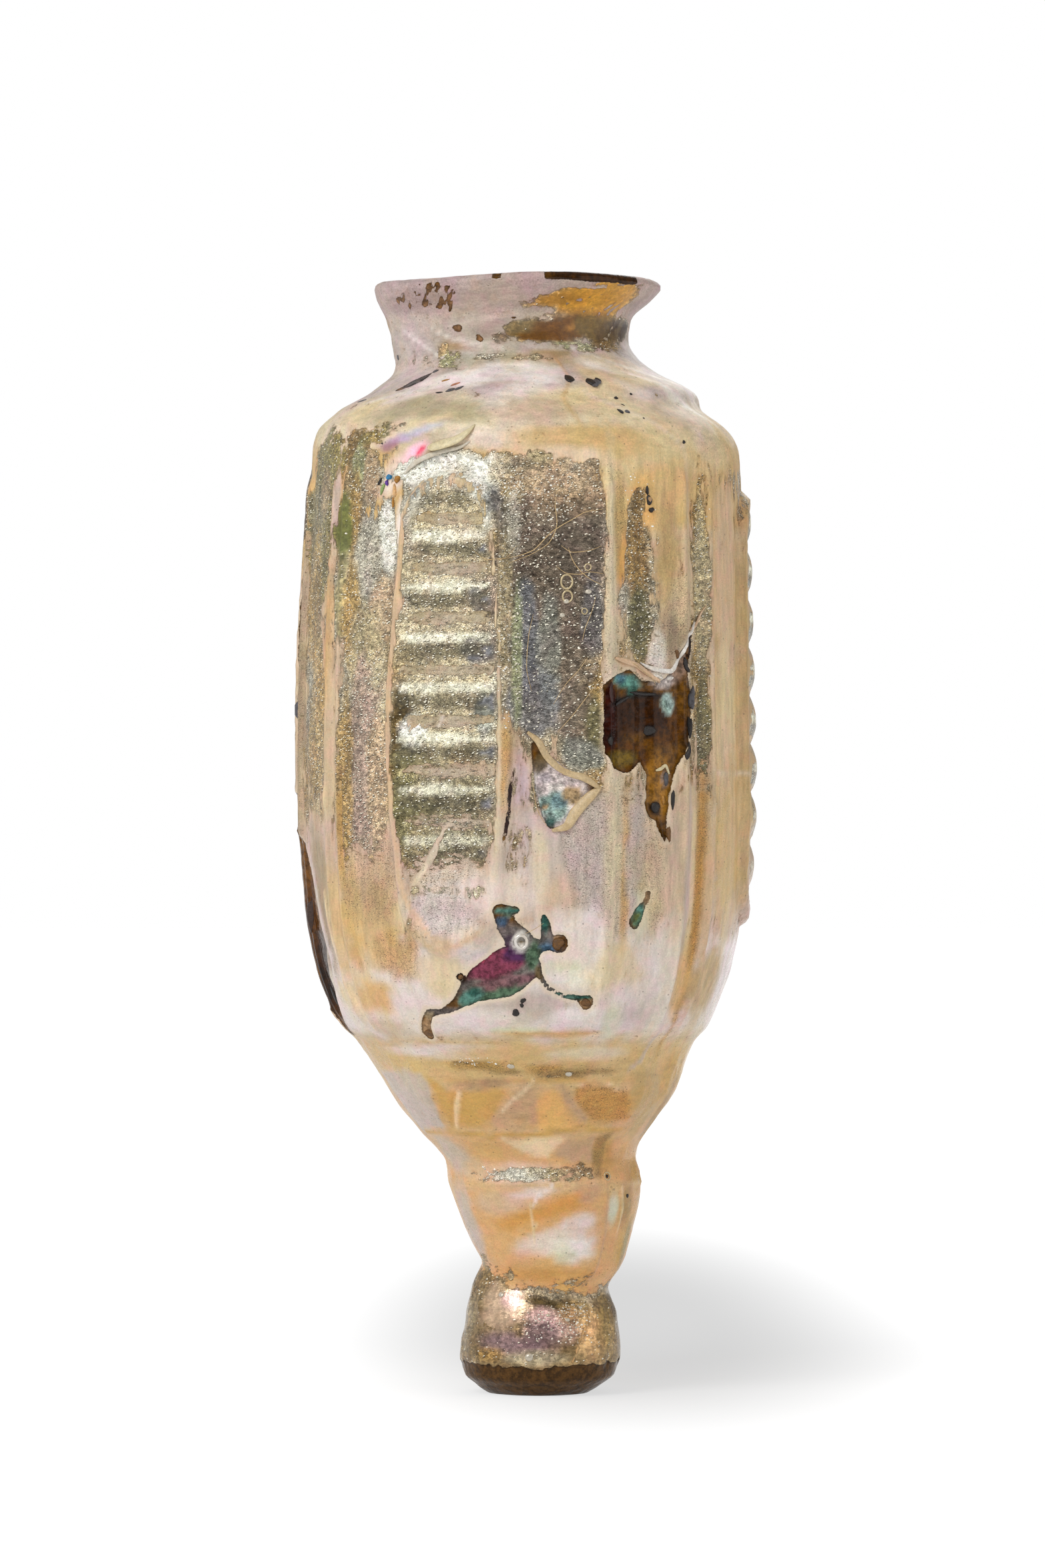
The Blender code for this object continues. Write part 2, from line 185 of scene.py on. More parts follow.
TONES = {
    "lilac": (194, 178, 173), "rim_lilac": (180, 160, 156), "dusk_lilac": (162, 139, 134),
    "pale_lilac": (218, 205, 201), "white_veil": (234, 226, 221), "neck_dusk": (166, 151, 142),
    "neck_lilac": (180, 166, 160), "gold_tan": (186, 154, 104), "dusk_gold": (164, 132, 84),
    "grey_stone": (160, 152, 138), "shade_beige": (158, 138, 110), "lavender_veil": (188, 164, 190),
    "grey_blue": (176, 176, 188), "purple_veil": (150, 106, 120), "cream": (214, 197, 172),
    "warm_cream": (214, 191, 152), "golden_cream": (204, 172, 120), "gold_peach": (206, 164, 108),
    "peach": (206, 174, 142), "orange_peach": (212, 166, 112), "orange": (206, 150, 76),
    "pink_white": (236, 214, 204), "pearl": (222, 204, 196), "grey_lilac": (190, 175, 166),
    "beige": (198, 175, 148), "tan": (178, 142, 104), "dull_gold": (166, 146, 112),
    "deep_gold": (190, 146, 76), "pink": (244, 196, 210), "red": (226, 74, 104),
    "silver": (200, 192, 176), "rib_foil": (158, 146, 116), "white_silver": (250, 248, 238),
    "crest_highlight": (255, 250, 226), "silver_gold": (200, 182, 144), "gold": (196, 162, 104),
    "peach_silver": (204, 176, 144), "grey_gold": (208, 192, 160), "green_silver": (188, 192, 146),
    "yellow_green": (150, 142, 84), "olive": (140, 128, 76), "dark_green": (96, 104, 48),
    "olive_foil": (126, 118, 84), "slate": (124, 124, 130), "slate_leaf": (170, 172, 166),
    "dark_foil": (128, 114, 101), "umber_foil": (160, 132, 102), "blue_slate": (144, 146, 154),
    "green_slate": (146, 146, 136), "brown_foil": (146, 130, 114), "copper": (216, 184, 156),
    "bronze": (150, 124, 86), "lavender_foil": (158, 128, 132), "rose_beige": (192, 156, 122),
    "pale_orange": (220, 172, 106), "gold_film": (200, 156, 82), "pale_cream": (232, 208, 168),
    "peach_lilac": (194, 168, 152), "green_veil": (206, 204, 180), "foil_pink": (240, 196, 190),
    "foil_gold": (216, 172, 120), "olive_gold": (158, 126, 72), "dark_olive": (98, 80, 48),
    "bright_amber": (204, 148, 54), "dusk_brown": (100, 78, 46), "amber": (166, 116, 42),
    "rich_brown": (108, 68, 16), "brown": (104, 68, 20), "dark_brown": (52, 26, 6),
    "rust_brown": (84, 48, 8), "red_brown": (52, 16, 8), "black": (26, 18, 14), "teal": (88, 132, 122),
    "pale_teal": (150, 172, 166), "deep_teal": (34, 92, 84), "blue": (72, 104, 132),
    "magenta": (134, 62, 84), "purple": (72, 40, 78), "film_green": (84, 112, 88),
    "film_grey": (112, 104, 100), "lavender": (152, 126, 108), "ring_white": (222, 216, 208),
    "wear_brown": (86, 59, 27), "inside": (150, 126, 98), "yellow_olive": (116, 94, 30),
    "olive_brown": (112, 86, 30), "violet": (84, 40, 140), "bright_blue": (30, 120, 170),
    "leaf_green": (130, 150, 88), "stone": (174, 160, 132), "olive_gap_shade": (112, 104, 80),
    "tan_brown": (136, 100, 68), "bead_white": (252, 245, 228), "grit": (78, 76, 80),
    "rust": (176, 116, 84), "curl_cream": (208, 194, 156), "lip_tan": (196, 172, 132),
    "thread": (196, 168, 122),
}

# Finishes of the foil that lies on the glass: sheen, share of beads, pitting
FOILS = {
    "mirror": (0.75, 0.5, 0.1), "dark": (0.65, 0.34, 0.1), "shine": (0.45, 0.6, 0.05),
    "sparkle": (0.38, 0.85, 0.1), "grain": (0.32, 0.8, 0.5), "leaf": (0.2, 1, 0),
    "glassy": (0.05, 0, 0), "burnished": (0.6, 0.15, 0.1), "satin_foil": (0.5, 0, 0),
}
# Finishes of the pale veil over the foil: gloss, pitting
VEILS = {
    "matte": (0.1, 0.1), "satin": (0.45, 0.15), "pearl": (0.75, 0.05), "pitted": (0.25, 1),
    "smooth": (0.6, 0), "line": (0.6, 0.05),
}

# Rings of veil right round: from, to, tone, finish, how far it covers the foil
BANDS = (
    (134.5, 141, "rim_lilac", "matte", 0.95), (129, 134.5, "neck_lilac", "satin", 0.86),
    (124, 129, "lilac", "satin", 0.9), (118, 124, "cream", "satin", 0.88),
    (108, 118, "golden_cream", "satin", 0.5), (72, 108, "beige", "satin", 0.42),
    (58, 72, "peach_lilac", "smooth", 0.72), (45, 58, "pale_lilac", "pearl", 0.95),
    (39, 45, "golden_cream", "pearl", 1), (33, 39, "gold_peach", "pearl", 1),
    (26, 33, "orange_peach", "pearl", 1), (14, 26, "orange_peach", "pearl", 1.1),
    (2, 14, "olive_gold", "satin", 0),
)
# The pinch: edges of colour below it are soft, and the rings on either side of it meet sharply
PINCH_TOP = 14.0
# Strokes over each panel's ribs: painted shade in the gaps, the flecked slopes, painted shade under the
# crests and a painted highlight on them
RIB_STROKES = (
    ("olive_gap_shade", "grain", 0.72), ("stone", "pitted", 0.72), ("slate", "dark", 0.9),
    ("crest_highlight", "leaf", 0.95),
)

# Brush strokes of colour: angle, height, half width and half height, tilt, tone, finish, strength
PATCHES = (
    # rim and neck
    (-44, 136.8, 9, 1.6, 0, "dusk_lilac", "matte", 0.8),
    (-10, 136.6, 8, 1.4, 4, "rim_lilac", "satin", 0.8),
    (-25, 132.6, 7.4, 1.9, 6, "neck_dusk", "satin", 0.8),
    (-4, 132.6, 4.6, 1.6, 0, "neck_dusk", "satin", 0.8), (-18, 134, 4, 0.8, 8, "lilac", "satin", 0.7),
    (-52, 132.6, 4, 2.4, 0, "lilac", "satin", 0.5), (42, 136.7, 7, 2.6, 4, "bright_amber", "glassy", 1),
    (27, 137, 4.6, 1.4, 8, "bright_amber", "glassy", 0.85),
    (18, 136.4, 4.4, 0.8, 8, "amber", "glassy", 0.62), (36, 134.9, 6, 0.7, 2, "amber", "glassy", 0.6),
    (31, 138.2, 4.4, 0.26, 3, "rim_lilac", "matte", 0.85),
    (33, 136.7, 2.8, 0.2, 16, "dusk_lilac", "matte", 0.7),
    (42, 138.3, 2.4, 0.16, 8, "lilac", "matte", 0.85),
    (47, 135.3, 2.6, 0.24, 36, "lilac", "matte", 0.75),
    (54, 135.6, 2.2, 0.22, 46, "dusk_lilac", "matte", 0.85),
    (40, 135.6, 2.2, 0.18, 24, "lilac", "matte", 0.6), (76, 137, 3.4, 2.4, 0, "dusk_lilac", "matte", 1),
    (-2, 132, 2.6, 0.45, 4, "rich_brown", "glassy", 0.75),
    (11, 132.9, 4.6, 1.5, 4, "olive_brown", "glassy", 0.84),
    (14, 132, 3.4, 0.8, 4, "rich_brown", "glassy", 0.92),
    (28, 133, 5.2, 2.1, 3, "rich_brown", "glassy", 1), (36, 133.4, 2.4, 0.7, 4, "amber", "glassy", 0.8),
    (46, 133.3, 4.6, 1.9, 0, "olive_brown", "glassy", 0.96),
    (62, 133.4, 4.4, 1.8, 6, "dusk_brown", "glassy", 0.94),
    (60, 133.8, 1.6, 0.7, 30, "dark_brown", "glassy", 0.7),
    (67, 132.8, 1, 0.9, 0, "dark_brown", "glassy", 0.7),
    (74, 134, 1.8, 0.8, 10, "dark_brown", "glassy", 0.85),
    (52, 132.2, 2.6, 0.16, 30, "dull_gold", "satin", 0.7),
    (57, 133.4, 2.2, 0.14, 52, "stone", "satin", 0.7), (64, 132.4, 2, 0.14, 40, "stone", "satin", 0.7),
    (-31, 128.6, 3.4, 1.7, 20, "grey_stone", "satin", 0.8),
    (-33, 129.4, 2.4, 1.9, 20, "green_silver", "sparkle", 0.6),
    (-30.4, 130.9, 2.5, 0.8, 0, "olive_gold", "satin", 0.7),
    (-36.4, 130.4, 1.4, 0.6, 40, "tan", "burnished", 0.7),
    (-14, 129.4, 4.6, 1.2, 4, "grey_stone", "satin", 0.8),
    (-15, 129.4, 2.6, 0.4, 4, "silver", "sparkle", 0.66),
    (9, 129, 5.4, 1.1, 0, "dull_gold", "satin", 0.8),
    (6, 129.2, 3.4, 0.4, 2, "grey_gold", "sparkle", 0.66),
    (16, 130, 3, 0.5, 0, "olive_gold", "satin", 0.7),
    (31, 130.9, 3.8, 0.5, 0, "green_silver", "burnished", 0.6),
    # The white veil strokes round the foot of the neck, here and in the next lines, are partly the white
    # veil and partly a painted highlight
    (0, 127.2, 5, 1.8, 0, "white_veil", "pearl", 0.85),
    (33, 127.2, 6, 2.8, 0, "warm_cream", "satin", 0.85),
    (50, 131, 3, 0.8, 0, "olive_gold", "grain", 0.66),
    (-34, 126.6, 4.4, 1, 14, "white_veil", "pearl", 0.8),
    (-20, 126.6, 4.6, 1.2, 6, "white_veil", "pearl", 0.95),
    (-8, 128, 3.8, 0.6, -4, "white_veil", "pearl", 0.85),
    (-58, 127, 4.6, 1.8, 0, "lilac", "satin", 0.85), (36, 128.2, 4, 1, -8, "white_veil", "pearl", 0.8),
    (52, 127.6, 5.4, 2.4, -10, "warm_cream", "satin", 0.8),
    (58, 124.6, 3.6, 1, -24, "white_veil", "pearl", 0.7),
    (70, 126.4, 7, 2.6, -10, "pale_lilac", "satin", 0.8),
    (-11, 127.2, 3.4, 1.2, 0, "lilac", "satin", 0.65),
    (-11, 125.8, 4, 0.3, 0, "dull_gold", "satin", 0.4),
    # shoulder
    (-52, 122.4, 6, 1.8, 0, "warm_cream", "satin", 0.7),
    (-36, 122.4, 6, 1.9, 10, "stone", "satin", 0.95), (-40, 124.2, 4, 0.5, 12, "pearl", "pearl", 0.7),
    (-20, 122, 5.8, 2, 0, "stone", "satin", 0.95), (-26, 121, 4, 0.5, 10, "warm_cream", "pearl", 0.7),
    (6, 124.8, 6, 0.8, -4, "pearl", "pearl", 0.6), (30, 119.4, 4, 0.8, -20, "gold_peach", "satin", 0.6),
    (40, 124.8, 4, 0.9, -20, "pearl", "pearl", 0.6), (52, 120.4, 3.6, 0.5, -40, "pearl", "pearl", 0.7),
    (-25, 118.2, 5.4, 1.7, 0, "stone", "satin", 0.8),
    (-2, 123.6, 6, 1.8, 0, "white_veil", "satin", 0.36),
    (34, 117.4, 8, 3.4, 0, "warm_cream", "satin", 0.7), (-12, 118.4, 5, 1.8, 0, "pearl", "satin", 0.66),
    (2, 117.6, 3.6, 1.8, 0, "warm_cream", "satin", 0.8),
    (24, 117.4, 5, 2.2, 0, "warm_cream", "satin", 0.85),
    (20, 123.6, 5.4, 2.6, 0, "warm_cream", "satin", 0.9),
    (14, 118.9, 10, 1.6, 0, "golden_cream", "satin", 0.95),
    (42, 120.6, 6, 3.8, 0, "warm_cream", "satin", 0.85), (6, 122.2, 5.4, 2, 0, "beige", "satin", 0.9),
    (47, 122.2, 3.4, 1.8, -20, "beige", "satin", 0.85),
    (60, 118, 5, 3.4, 0, "warm_cream", "matte", 0.85),
    (76, 119.6, 5.6, 3.8, 0, "golden_cream", "matte", 0.75),
    (-64, 117, 5.8, 3.6, 0, "yellow_green", "grain", 0.7),
    (-50, 117.6, 3.4, 2.8, -20, "dusk_gold", "grain", 0.7),
    (-42, 119.6, 4, 1.2, 14, "yellow_green", "grain", 0.56),
    (-50, 113, 3, 4, 0, "shade_beige", "grain", 0.6), (-74, 110, 3.6, 8, 0, "olive", "grain", 0.62),
    (-80, 116, 3, 4, 0, "golden_cream", "satin", 0.7),
    # left of the ribbed panel
    (-49, 116, 1.6, 2.6, 0, "green_silver", "sparkle", 0.8),
    (-44, 114.4, 1.5, 3.8, 8, "peach_silver", "sparkle", 0.9),
    (-50, 110, 1.2, 6.4, 0, "gold", "sparkle", 0.8),
    (-54.2, 108, 2, 5.4, 0, "dark_green", "glassy", 0.9),
    (-54.6, 99, 1.5, 6, 0, "olive", "glassy", 0.7), (-58, 112, 0.7, 7, 0, "lilac", "satin", 0.7),
    (-63, 106, 2.2, 8, 0, "yellow_green", "grain", 0.64),
    (-66, 113, 1.6, 3, 0, "peach_silver", "sparkle", 0.62),
    (-70, 100, 2.4, 9, 0, "gold", "grain", 0.66),
    (-37.4, 106.6, 1.5, 4.6, 4, "white_silver", "leaf", 0.8),
    (-34, 108, 0.7, 3.6, 0, "white_veil", "pearl", 0.9),
    (-38.6, 98, 2.4, 4, 0, "peach_silver", "shine", 0.9),
    (-45, 104, 2.4, 5, 0, "silver", "sparkle", 0.9), (-49.6, 97, 1.6, 7, 0, "gold", "sparkle", 0.9),
    (-44, 92, 3.4, 6, 0, "silver_gold", "sparkle", 0.95),
    (-39, 86, 2.4, 7, 0, "grey_gold", "sparkle", 0.85),
    (-45, 78, 3.6, 13, 0, "peach_lilac", "sparkle", 0.95),
    (-39.4, 76, 2, 9, 0, "peach_silver", "grain", 0.9), (-51, 76, 1.4, 14, 0, "gold", "grain", 0.85),
    (-52.8, 70, 0.4, 10, 0, "deep_gold", "pitted", 0.9),
    (-60, 94, 1.6, 12, 0, "gold_film", "satin", 0.6), (-66, 84, 2.6, 10, 0, "gold", "grain", 0.66),
    (-57, 82, 1.3, 9, 0, "beige", "pearl", 0.8), (-80, 88, 2.2, 22, 0, "shade_beige", "pitted", 0.7),
    (-40.4, 67.2, 3.6, 0.5, -10, "gold", "burnished", 0.6),
    (-37, 66, 2.2, 6, 0, "peach", "pitted", 0.6), (-43, 61, 4.6, 6, 0, "gold_tan", "pitted", 0.85),
    (-47, 66, 2.4, 4, 0, "peach", "pitted", 0.75), (-66, 60, 3, 8, 0, "shade_beige", "pitted", 0.8),
    (-50, 60, 1.6, 8, 0, "golden_cream", "pitted", 0.9),
    (-43, 57, 5.6, 3.6, 0, "golden_cream", "pearl", 0.75),
    (-54, 56, 3, 5, 0, "gold_film", "satin", 0.5),
    (-36, 55.4, 3.6, 3.2, -24, "gold_peach", "pitted", 0.8),
    (-31, 60.4, 2.2, 3, -20, "warm_cream", "pearl", 0.8),
    (-29, 60, 1.2, 3.4, -30, "gold", "burnished", 0.55),
    (-23, 57.2, 2.6, 1.9, -16, "gold_tan", "satin", 0.85),
    (-30, 57.4, 1.4, 3, -40, "gold_film", "pitted", 0.55),
    (-58, 60, 3, 8, 0, "golden_cream", "smooth", 0.65),
    (-67, 64, 2.6, 9, 0, "shade_beige", "satin", 0.9), (-52, 50, 6, 3.4, 0, "warm_cream", "pearl", 0.9),
    (-47, 50, 4, 2.6, 0, "gold_peach", "pearl", 0.95),
    (-34, 49.2, 3.8, 2.4, 0, "pale_lilac", "pearl", 1),
    (-25, 50, 3.6, 2.4, 20, "pale_lilac", "pearl", 0.9), (-48, 46.4, 4, 1.2, 0, "beige", "pearl", 0.85),
    # over the ribbed panel's head
    (-35, 114.6, 4.2, 2, 44, "pearl", "pearl", 0.9), (-30.4, 116.9, 2.5, 1.2, 34, "pink", "pearl", 1),
    (-28.4, 117.3, 1, 0.38, 44, "red", "pearl", 1),
    (-34, 118.9, 4.2, 0.6, 14, "lavender_veil", "pearl", 1),
    (-28, 119.9, 3.4, 0.5, 14, "grey_blue", "pearl", 0.8),
    (-38.6, 117.9, 1.6, 0.7, 20, "purple_veil", "pearl", 0.85),
    (-20, 114.6, 8.6, 2.8, 0, "white_silver", "leaf", 0.92),
    (-25, 116.6, 2.6, 0.8, 16, "shade_beige", "satin", 0.7),
    (-12, 113, 3, 2.6, 24, "white_silver", "leaf", 0.9),
    (-12.4, 109.4, 2.6, 3.8, 10, "white_silver", "leaf", 0.9),
    (-30, 110.4, 1.8, 3.2, -14, "silver", "leaf", 1),
    (-26, 112.4, 3.4, 0.7, 24, "slate_leaf", "leaf", 0.9),
    (-17, 112.6, 3.6, 0.4, -4, "slate_leaf", "leaf", 0.7),
    (-23, 116.4, 3.4, 0.5, 20, "slate_leaf", "leaf", 0.6),
    (-6.4, 109.6, 1.6, 3.4, 24, "slate", "dark", 0.8),
    (-4, 114.6, 3, 2.2, 0, "silver_gold", "sparkle", 0.7),
    (-1, 112, 2.4, 3.6, 0, "silver_gold", "sparkle", 0.8),
    (1, 115, 2.6, 2, 0, "brown_foil", "grain", 0.5),
    # inside the ribbed panel
    (-19.6, 104, 6.4, 9.5, 0, "grey_gold", "sparkle", 1),
    (-19.8, 88, 7.4, 10, 0, "grey_gold", "sparkle", 1),
    (-19.5, 70, 6.6, 9, 0, "rib_foil", "grain", 0.9), (-19.5, 64, 5.6, 5, 0, "cream", "pitted", 0.7),
    # The slate strokes near the panel's right edge, at the ribs' ends, are a painted dark reflection in the
    # valleys between the ribs
    (-20, 61, 5.6, 4, 0, "pale_lilac", "pitted", 0.9), (-9.8, 99.2, 1.9, 1.7, 0, "slate", "dark", 1),
    (-10.4, 92.6, 2.4, 1.7, 0, "slate", "dark", 1), (-9.4, 85, 1.4, 3, 0, "green_slate", "dark", 0.95),
    (-31, 80, 1.5, 10, 0, "dark_olive", "dark", 1), (-30, 74, 2, 6, 0, "olive_foil", "dark", 0.9),
    (-28, 79.4, 3, 1.3, 0, "olive_foil", "dark", 0.85),
    (-26, 73.6, 2.6, 1.1, 0, "olive_foil", "dark", 0.8),
    (-27.2, 82.9, 2, 2, 0, "white_silver", "leaf", 1),
    (-27.4, 83.3, 0.4, 0.4, 0, "dull_gold", "satin", 1),
    # between the ribbed panel and the first upright ridge
    (12, 116.4, 6, 1.2, 0, "pink_white", "pearl", 0.45),
    (17, 114.4, 2.4, 1.4, 20, "peach_silver", "sparkle", 0.8),
    (4, 116.2, 1.8, 0.9, -10, "silver_gold", "sparkle", 0.8),
    (10, 115.4, 1.4, 0.8, 0, "peach_silver", "grain", 0.7),
    (9, 113.6, 6, 1.6, 0, "brown_foil", "grain", 0.6), (7, 98, 8.4, 16, 0, "brown_foil", "mirror", 1),
    (14, 107, 3.8, 6, 0, "dark_foil", "dark", 0.9), (3, 109, 3.4, 4, 0, "brown_foil", "mirror", 0.95),
    (0, 101, 1.6, 3, 0, "dark_foil", "mirror", 0.7),
    (9, 113.2, 7.6, 2.4, 0, "peach_silver", "sparkle", 0.85),
    (12, 110.6, 6, 1.6, 0, "umber_foil", "grain", 0.45),
    (-4.6, 98, 0.9, 12, 0, "silver_gold", "sparkle", 0.7),
    (0.6, 95, 1.8, 7, 0, "blue_slate", "mirror", 0.75),
    (6.6, 93, 1.7, 8, 0, "green_slate", "mirror", 0.8),
    (3, 86.4, 3.4, 4.4, 0, "blue_slate", "mirror", 0.6),
    (12, 95, 1.2, 6, 0, "dark_foil", "mirror", 0.6), (17.6, 96, 1.6, 6, 0, "slate", "mirror", 0.6),
    (15.4, 84, 2.8, 5, 0, "dark_foil", "dark", 0.8),
    (18.4, 83, 1.3, 4.6, 0, "olive_foil", "dark", 0.85),
    (15, 79.6, 3.2, 2.2, -20, "green_slate", "mirror", 0.9),
    (-4.2, 78, 0.8, 8, 0, "gold_peach", "pitted", 0.95),
    (-0.6, 76.6, 1.6, 4.6, 0, "lavender_veil", "pearl", 0.55),
    (-3, 108, 1, 5, 0, "silver", "leaf", 0.7), (-1.6, 92, 0.7, 9, 0, "green_silver", "sparkle", 0.75),
    (3, 67.5, 5.8, 7, 0, "lilac", "pearl", 0.9), (16, 70, 3.8, 6, 0, "lilac", "pitted", 1),
    (15, 63, 3.4, 4, 0, "lilac", "pitted", 1), (-1, 67.6, 2.2, 4.6, 0, "peach_silver", "sparkle", 0.5),
    (4, 66, 1.2, 6, 0, "cream", "pearl", 0.9), (10, 62, 2.4, 4, 0, "peach", "pearl", 0.6),
    (14, 56.4, 6, 4.4, 0, "pale_lilac", "pearl", 1), (9, 53.4, 4, 1.6, 0, "green_veil", "pearl", 0.8),
    (14, 52.6, 4, 1, 0, "white_veil", "pearl", 0.8), (0, 48.8, 9, 2, 0, "grey_lilac", "pearl", 1),
    (15, 48.2, 3.6, 1, 6, "white_veil", "pearl", 0.7), (-14, 47.8, 6, 1.2, 0, "pale_lilac", "pearl", 1),
    (-12, 57.6, 3.4, 1.6, 0, "cream", "satin", 0.7), (-22, 53, 3.4, 3.4, 0, "warm_cream", "pearl", 0.8),
    (-7, 62.6, 5, 3.4, 0, "pearl", "pearl", 0.95), (44, 57, 3, 5, 0, "cream", "pearl", 0.7),
    (9, 45.7, 7.4, 0.5, 0, "gold_peach", "satin", 0.9),
    (-2, 46.2, 4, 0.4, 0, "green_veil", "pearl", 0.8),
    (27, 47.6, 1.6, 3, 0, "green_veil", "pearl", 0.9), (36, 49, 3, 3, 0, "lilac", "pearl", 0.85),
    # right of it
    (26, 113.4, 3.6, 3.6, 0, "warm_cream", "satin", 0.8),
    (33, 111, 3, 4.6, 0, "pale_orange", "satin", 0.85),
    (42, 112.4, 4, 3.6, 0, "golden_cream", "satin", 1),
    (27, 118, 4, 2, 0, "golden_cream", "satin", 0.85), (22.4, 92, 1.15, 24, 0, "cream", "pitted", 1),
    (24.8, 108, 1.1, 7, 0, "golden_cream", "pitted", 1),
    (25.8, 104, 0.75, 4, -6, "orange", "satin", 0.8), (30.4, 104, 2, 8, 0, "dusk_gold", "grain", 1),
    (30.8, 96.4, 1.9, 5, 0, "olive_foil", "grain", 1),
    (39.4, 104, 2.4, 7.8, 0, "gold_tan", "matte", 0.9),
    (41.8, 95, 2.6, 4.6, 0, "shade_beige", "pitted", 0.95),
    (36, 92, 1.4, 4, 0, "white_veil", "pitted", 0.8), (46.4, 103, 0.8, 13, 0, "beige", "pearl", 1),
    (52.4, 100, 1.4, 12, 0, "silver_gold", "grain", 1),
    (52.4, 83, 1.1, 8, 0, "olive_foil", "grain", 0.9),
    (52.2, 63, 1.35, 18, 0, "deep_gold", "pitted", 1), (52.2, 62, 0.7, 17, 0, "orange", "pitted", 0.85),
    (49, 64, 0.8, 16, 0, "warm_cream", "pearl", 0.9), (55.4, 60, 1.2, 14, 0, "peach", "pearl", 0.9),
    (58.4, 90, 1.6, 26, 0, "golden_cream", "satin", 0.95),
    (44.6, 99, 2.4, 4, 0, "warm_cream", "pitted", 0.8), (65.5, 103, 4, 13, 0, "peach", "smooth", 0.95),
    (64, 84, 4, 12, 0, "warm_cream", "smooth", 0.8), (74, 80, 3, 18, 0, "golden_cream", "satin", 0.85),
    (66, 68, 4.4, 13, 0, "golden_cream", "smooth", 0.9),
    (76, 90, 2.4, 24, 0, "gold_tan", "satin", 0.85), (86, 88, 3, 24, 0, "golden_cream", "pitted", 0.8),
    (23.4, 66, 1.5, 12, 0, "cream", "pitted", 1), (26.6, 64, 0.7, 12, 0, "gold_peach", "pitted", 0.9),
    (29.6, 68, 1.6, 9, 0, "lilac", "pitted", 1), (32, 60, 1.6, 4, 0, "green_veil", "pearl", 0.7),
    (36, 64, 2, 7, 0, "warm_cream", "pitted", 0.8), (42, 68, 2.4, 12, 0, "beige", "satin", 0.8),
    (33, 67, 2.6, 4, 0, "beige", "pitted", 0.5), (46.8, 62, 1, 16, 0, "lilac", "smooth", 0.9),
    (28, 53, 4.6, 4.4, 0, "warm_cream", "pearl", 0.8),
    (30, 50.4, 3.6, 2, 0, "pale_lilac", "pearl", 0.8), (40, 54, 2.4, 6, 0, "pale_lilac", "pearl", 0.85),
    (50, 52, 2, 5, 0, "gold_peach", "satin", 0.85), (62, 52, 5, 5.4, 0, "gold_tan", "satin", 0.85),
    # funnel
    (-30, 43.4, 10, 0.9, 0, "pale_lilac", "pearl", 0.95),
    (-4, 43.2, 10, 0.9, 0, "golden_cream", "pearl", 0.95), (22, 43.2, 6, 0.9, 0, "cream", "pearl", 0.9),
    (-18, 41.7, 4.6, 0.6, 0, "deep_gold", "pitted", 0.9),
    (-22, 41.9, 2.6, 0.24, 0, "olive_gold", "grain", 0.6),
    (-10, 41, 3, 0.44, -6, "olive_gold", "pitted", 0.8),
    (6, 41.2, 3, 0.6, 0, "deep_gold", "pitted", 0.9),
    (14, 40.7, 4.4, 0.7, 6, "dusk_gold", "pitted", 0.95),
    (12, 40.6, 2.4, 0.24, 6, "olive_gold", "grain", 0.6),
    (27, 41.1, 2.6, 0.3, 0, "olive_gold", "pitted", 0.8),
    (0, 39.8, 12, 0.5, 0, "gold_film", "pearl", 0.6),
    (-30, 36.6, 3.4, 1.4, 20, "pale_orange", "pearl", 0.6),
    (26, 36.8, 1.8, 0.8, 0, "olive_gold", "pitted", 0.6),
    (34, 37, 2.6, 1.4, 0, "deep_gold", "pearl", 0.6), (-20, 39.4, 4.4, 0.8, 4, "tan", "satin", 0.9),
    (68, 39, 5, 5, 0, "gold_film", "satin", 0.8), (76, 36, 2, 5, 0, "olive_gold", "satin", 0.7),
    (58, 35, 3, 3, 0, "gold_tan", "pearl", 0.8), (-60, 30, 3, 2.6, 0, "grey_lilac", "pearl", 0.85),
    (40, 30.6, 2.2, 2.4, 0, "deep_gold", "satin", 0.8),
    (-24, 30.6, 4, 1.4, 0, "gold_peach", "pearl", 0.85), (-14, 27.9, 8, 1.5, 0, "pearl", "pearl", 0.6),
    (-22, 27.9, 4.6, 0.9, 0, "white_silver", "leaf", 0.58),
    (-10, 28.1, 3.4, 1.1, 0, "white_silver", "leaf", 0.56),
    (8, 28, 4.8, 1.1, -4, "silver_gold", "sparkle", 0.58),
    (-34, 28, 3.4, 1, 0, "silver", "sparkle", 0.54), (-40, 28.6, 3, 1.2, 0, "peach", "pearl", 0.8),
    (22, 28.6, 2.4, 0.9, -10, "rose_beige", "sparkle", 0.58),
    # stem
    (-30, 24.4, 5, 1.5, 4, "peach", "pearl", 0.95), (-36, 21.5, 3.4, 0.9, 4, "orange", "pearl", 0.9),
    (-14, 22.5, 4, 1, 12, "orange", "pearl", 1), (12, 24.2, 4.6, 1.2, 18, "orange", "pearl", 1),
    (28, 25.2, 2, 0.9, 16, "rose_beige", "pearl", 0.8), (-8, 25.6, 3.4, 0.7, 8, "pearl", "pearl", 0.8),
    (20, 21.8, 3.6, 1.1, 14, "pearl", "pearl", 1), (2, 19.8, 6, 1.5, 12, "pearl", "pearl", 1),
    (16, 19, 3.6, 1.4, 0, "white_veil", "pearl", 0.95),
    (12, 18.4, 1.6, 0.7, 0, "green_veil", "pearl", 0.8),
    (-46, 19, 3, 3.6, 0, "orange_peach", "pearl", 0.9),
    (46, 23.7, 1.1, 2.1, 0, "green_veil", "pearl", 1),
    (36, 23.6, 1.3, 2, 0, "orange_peach", "pearl", 0.9),
    (60, 24, 1.8, 3.4, 0, "olive_gold", "pearl", 0.8), (72, 27, 2.4, 3.4, 0, "gold_film", "pearl", 0.8),
    (68, 18.6, 2, 3.4, 0, "gold_film", "pearl", 0.9), (72, 19.4, 1.2, 3, 0, "olive", "pearl", 0.7),
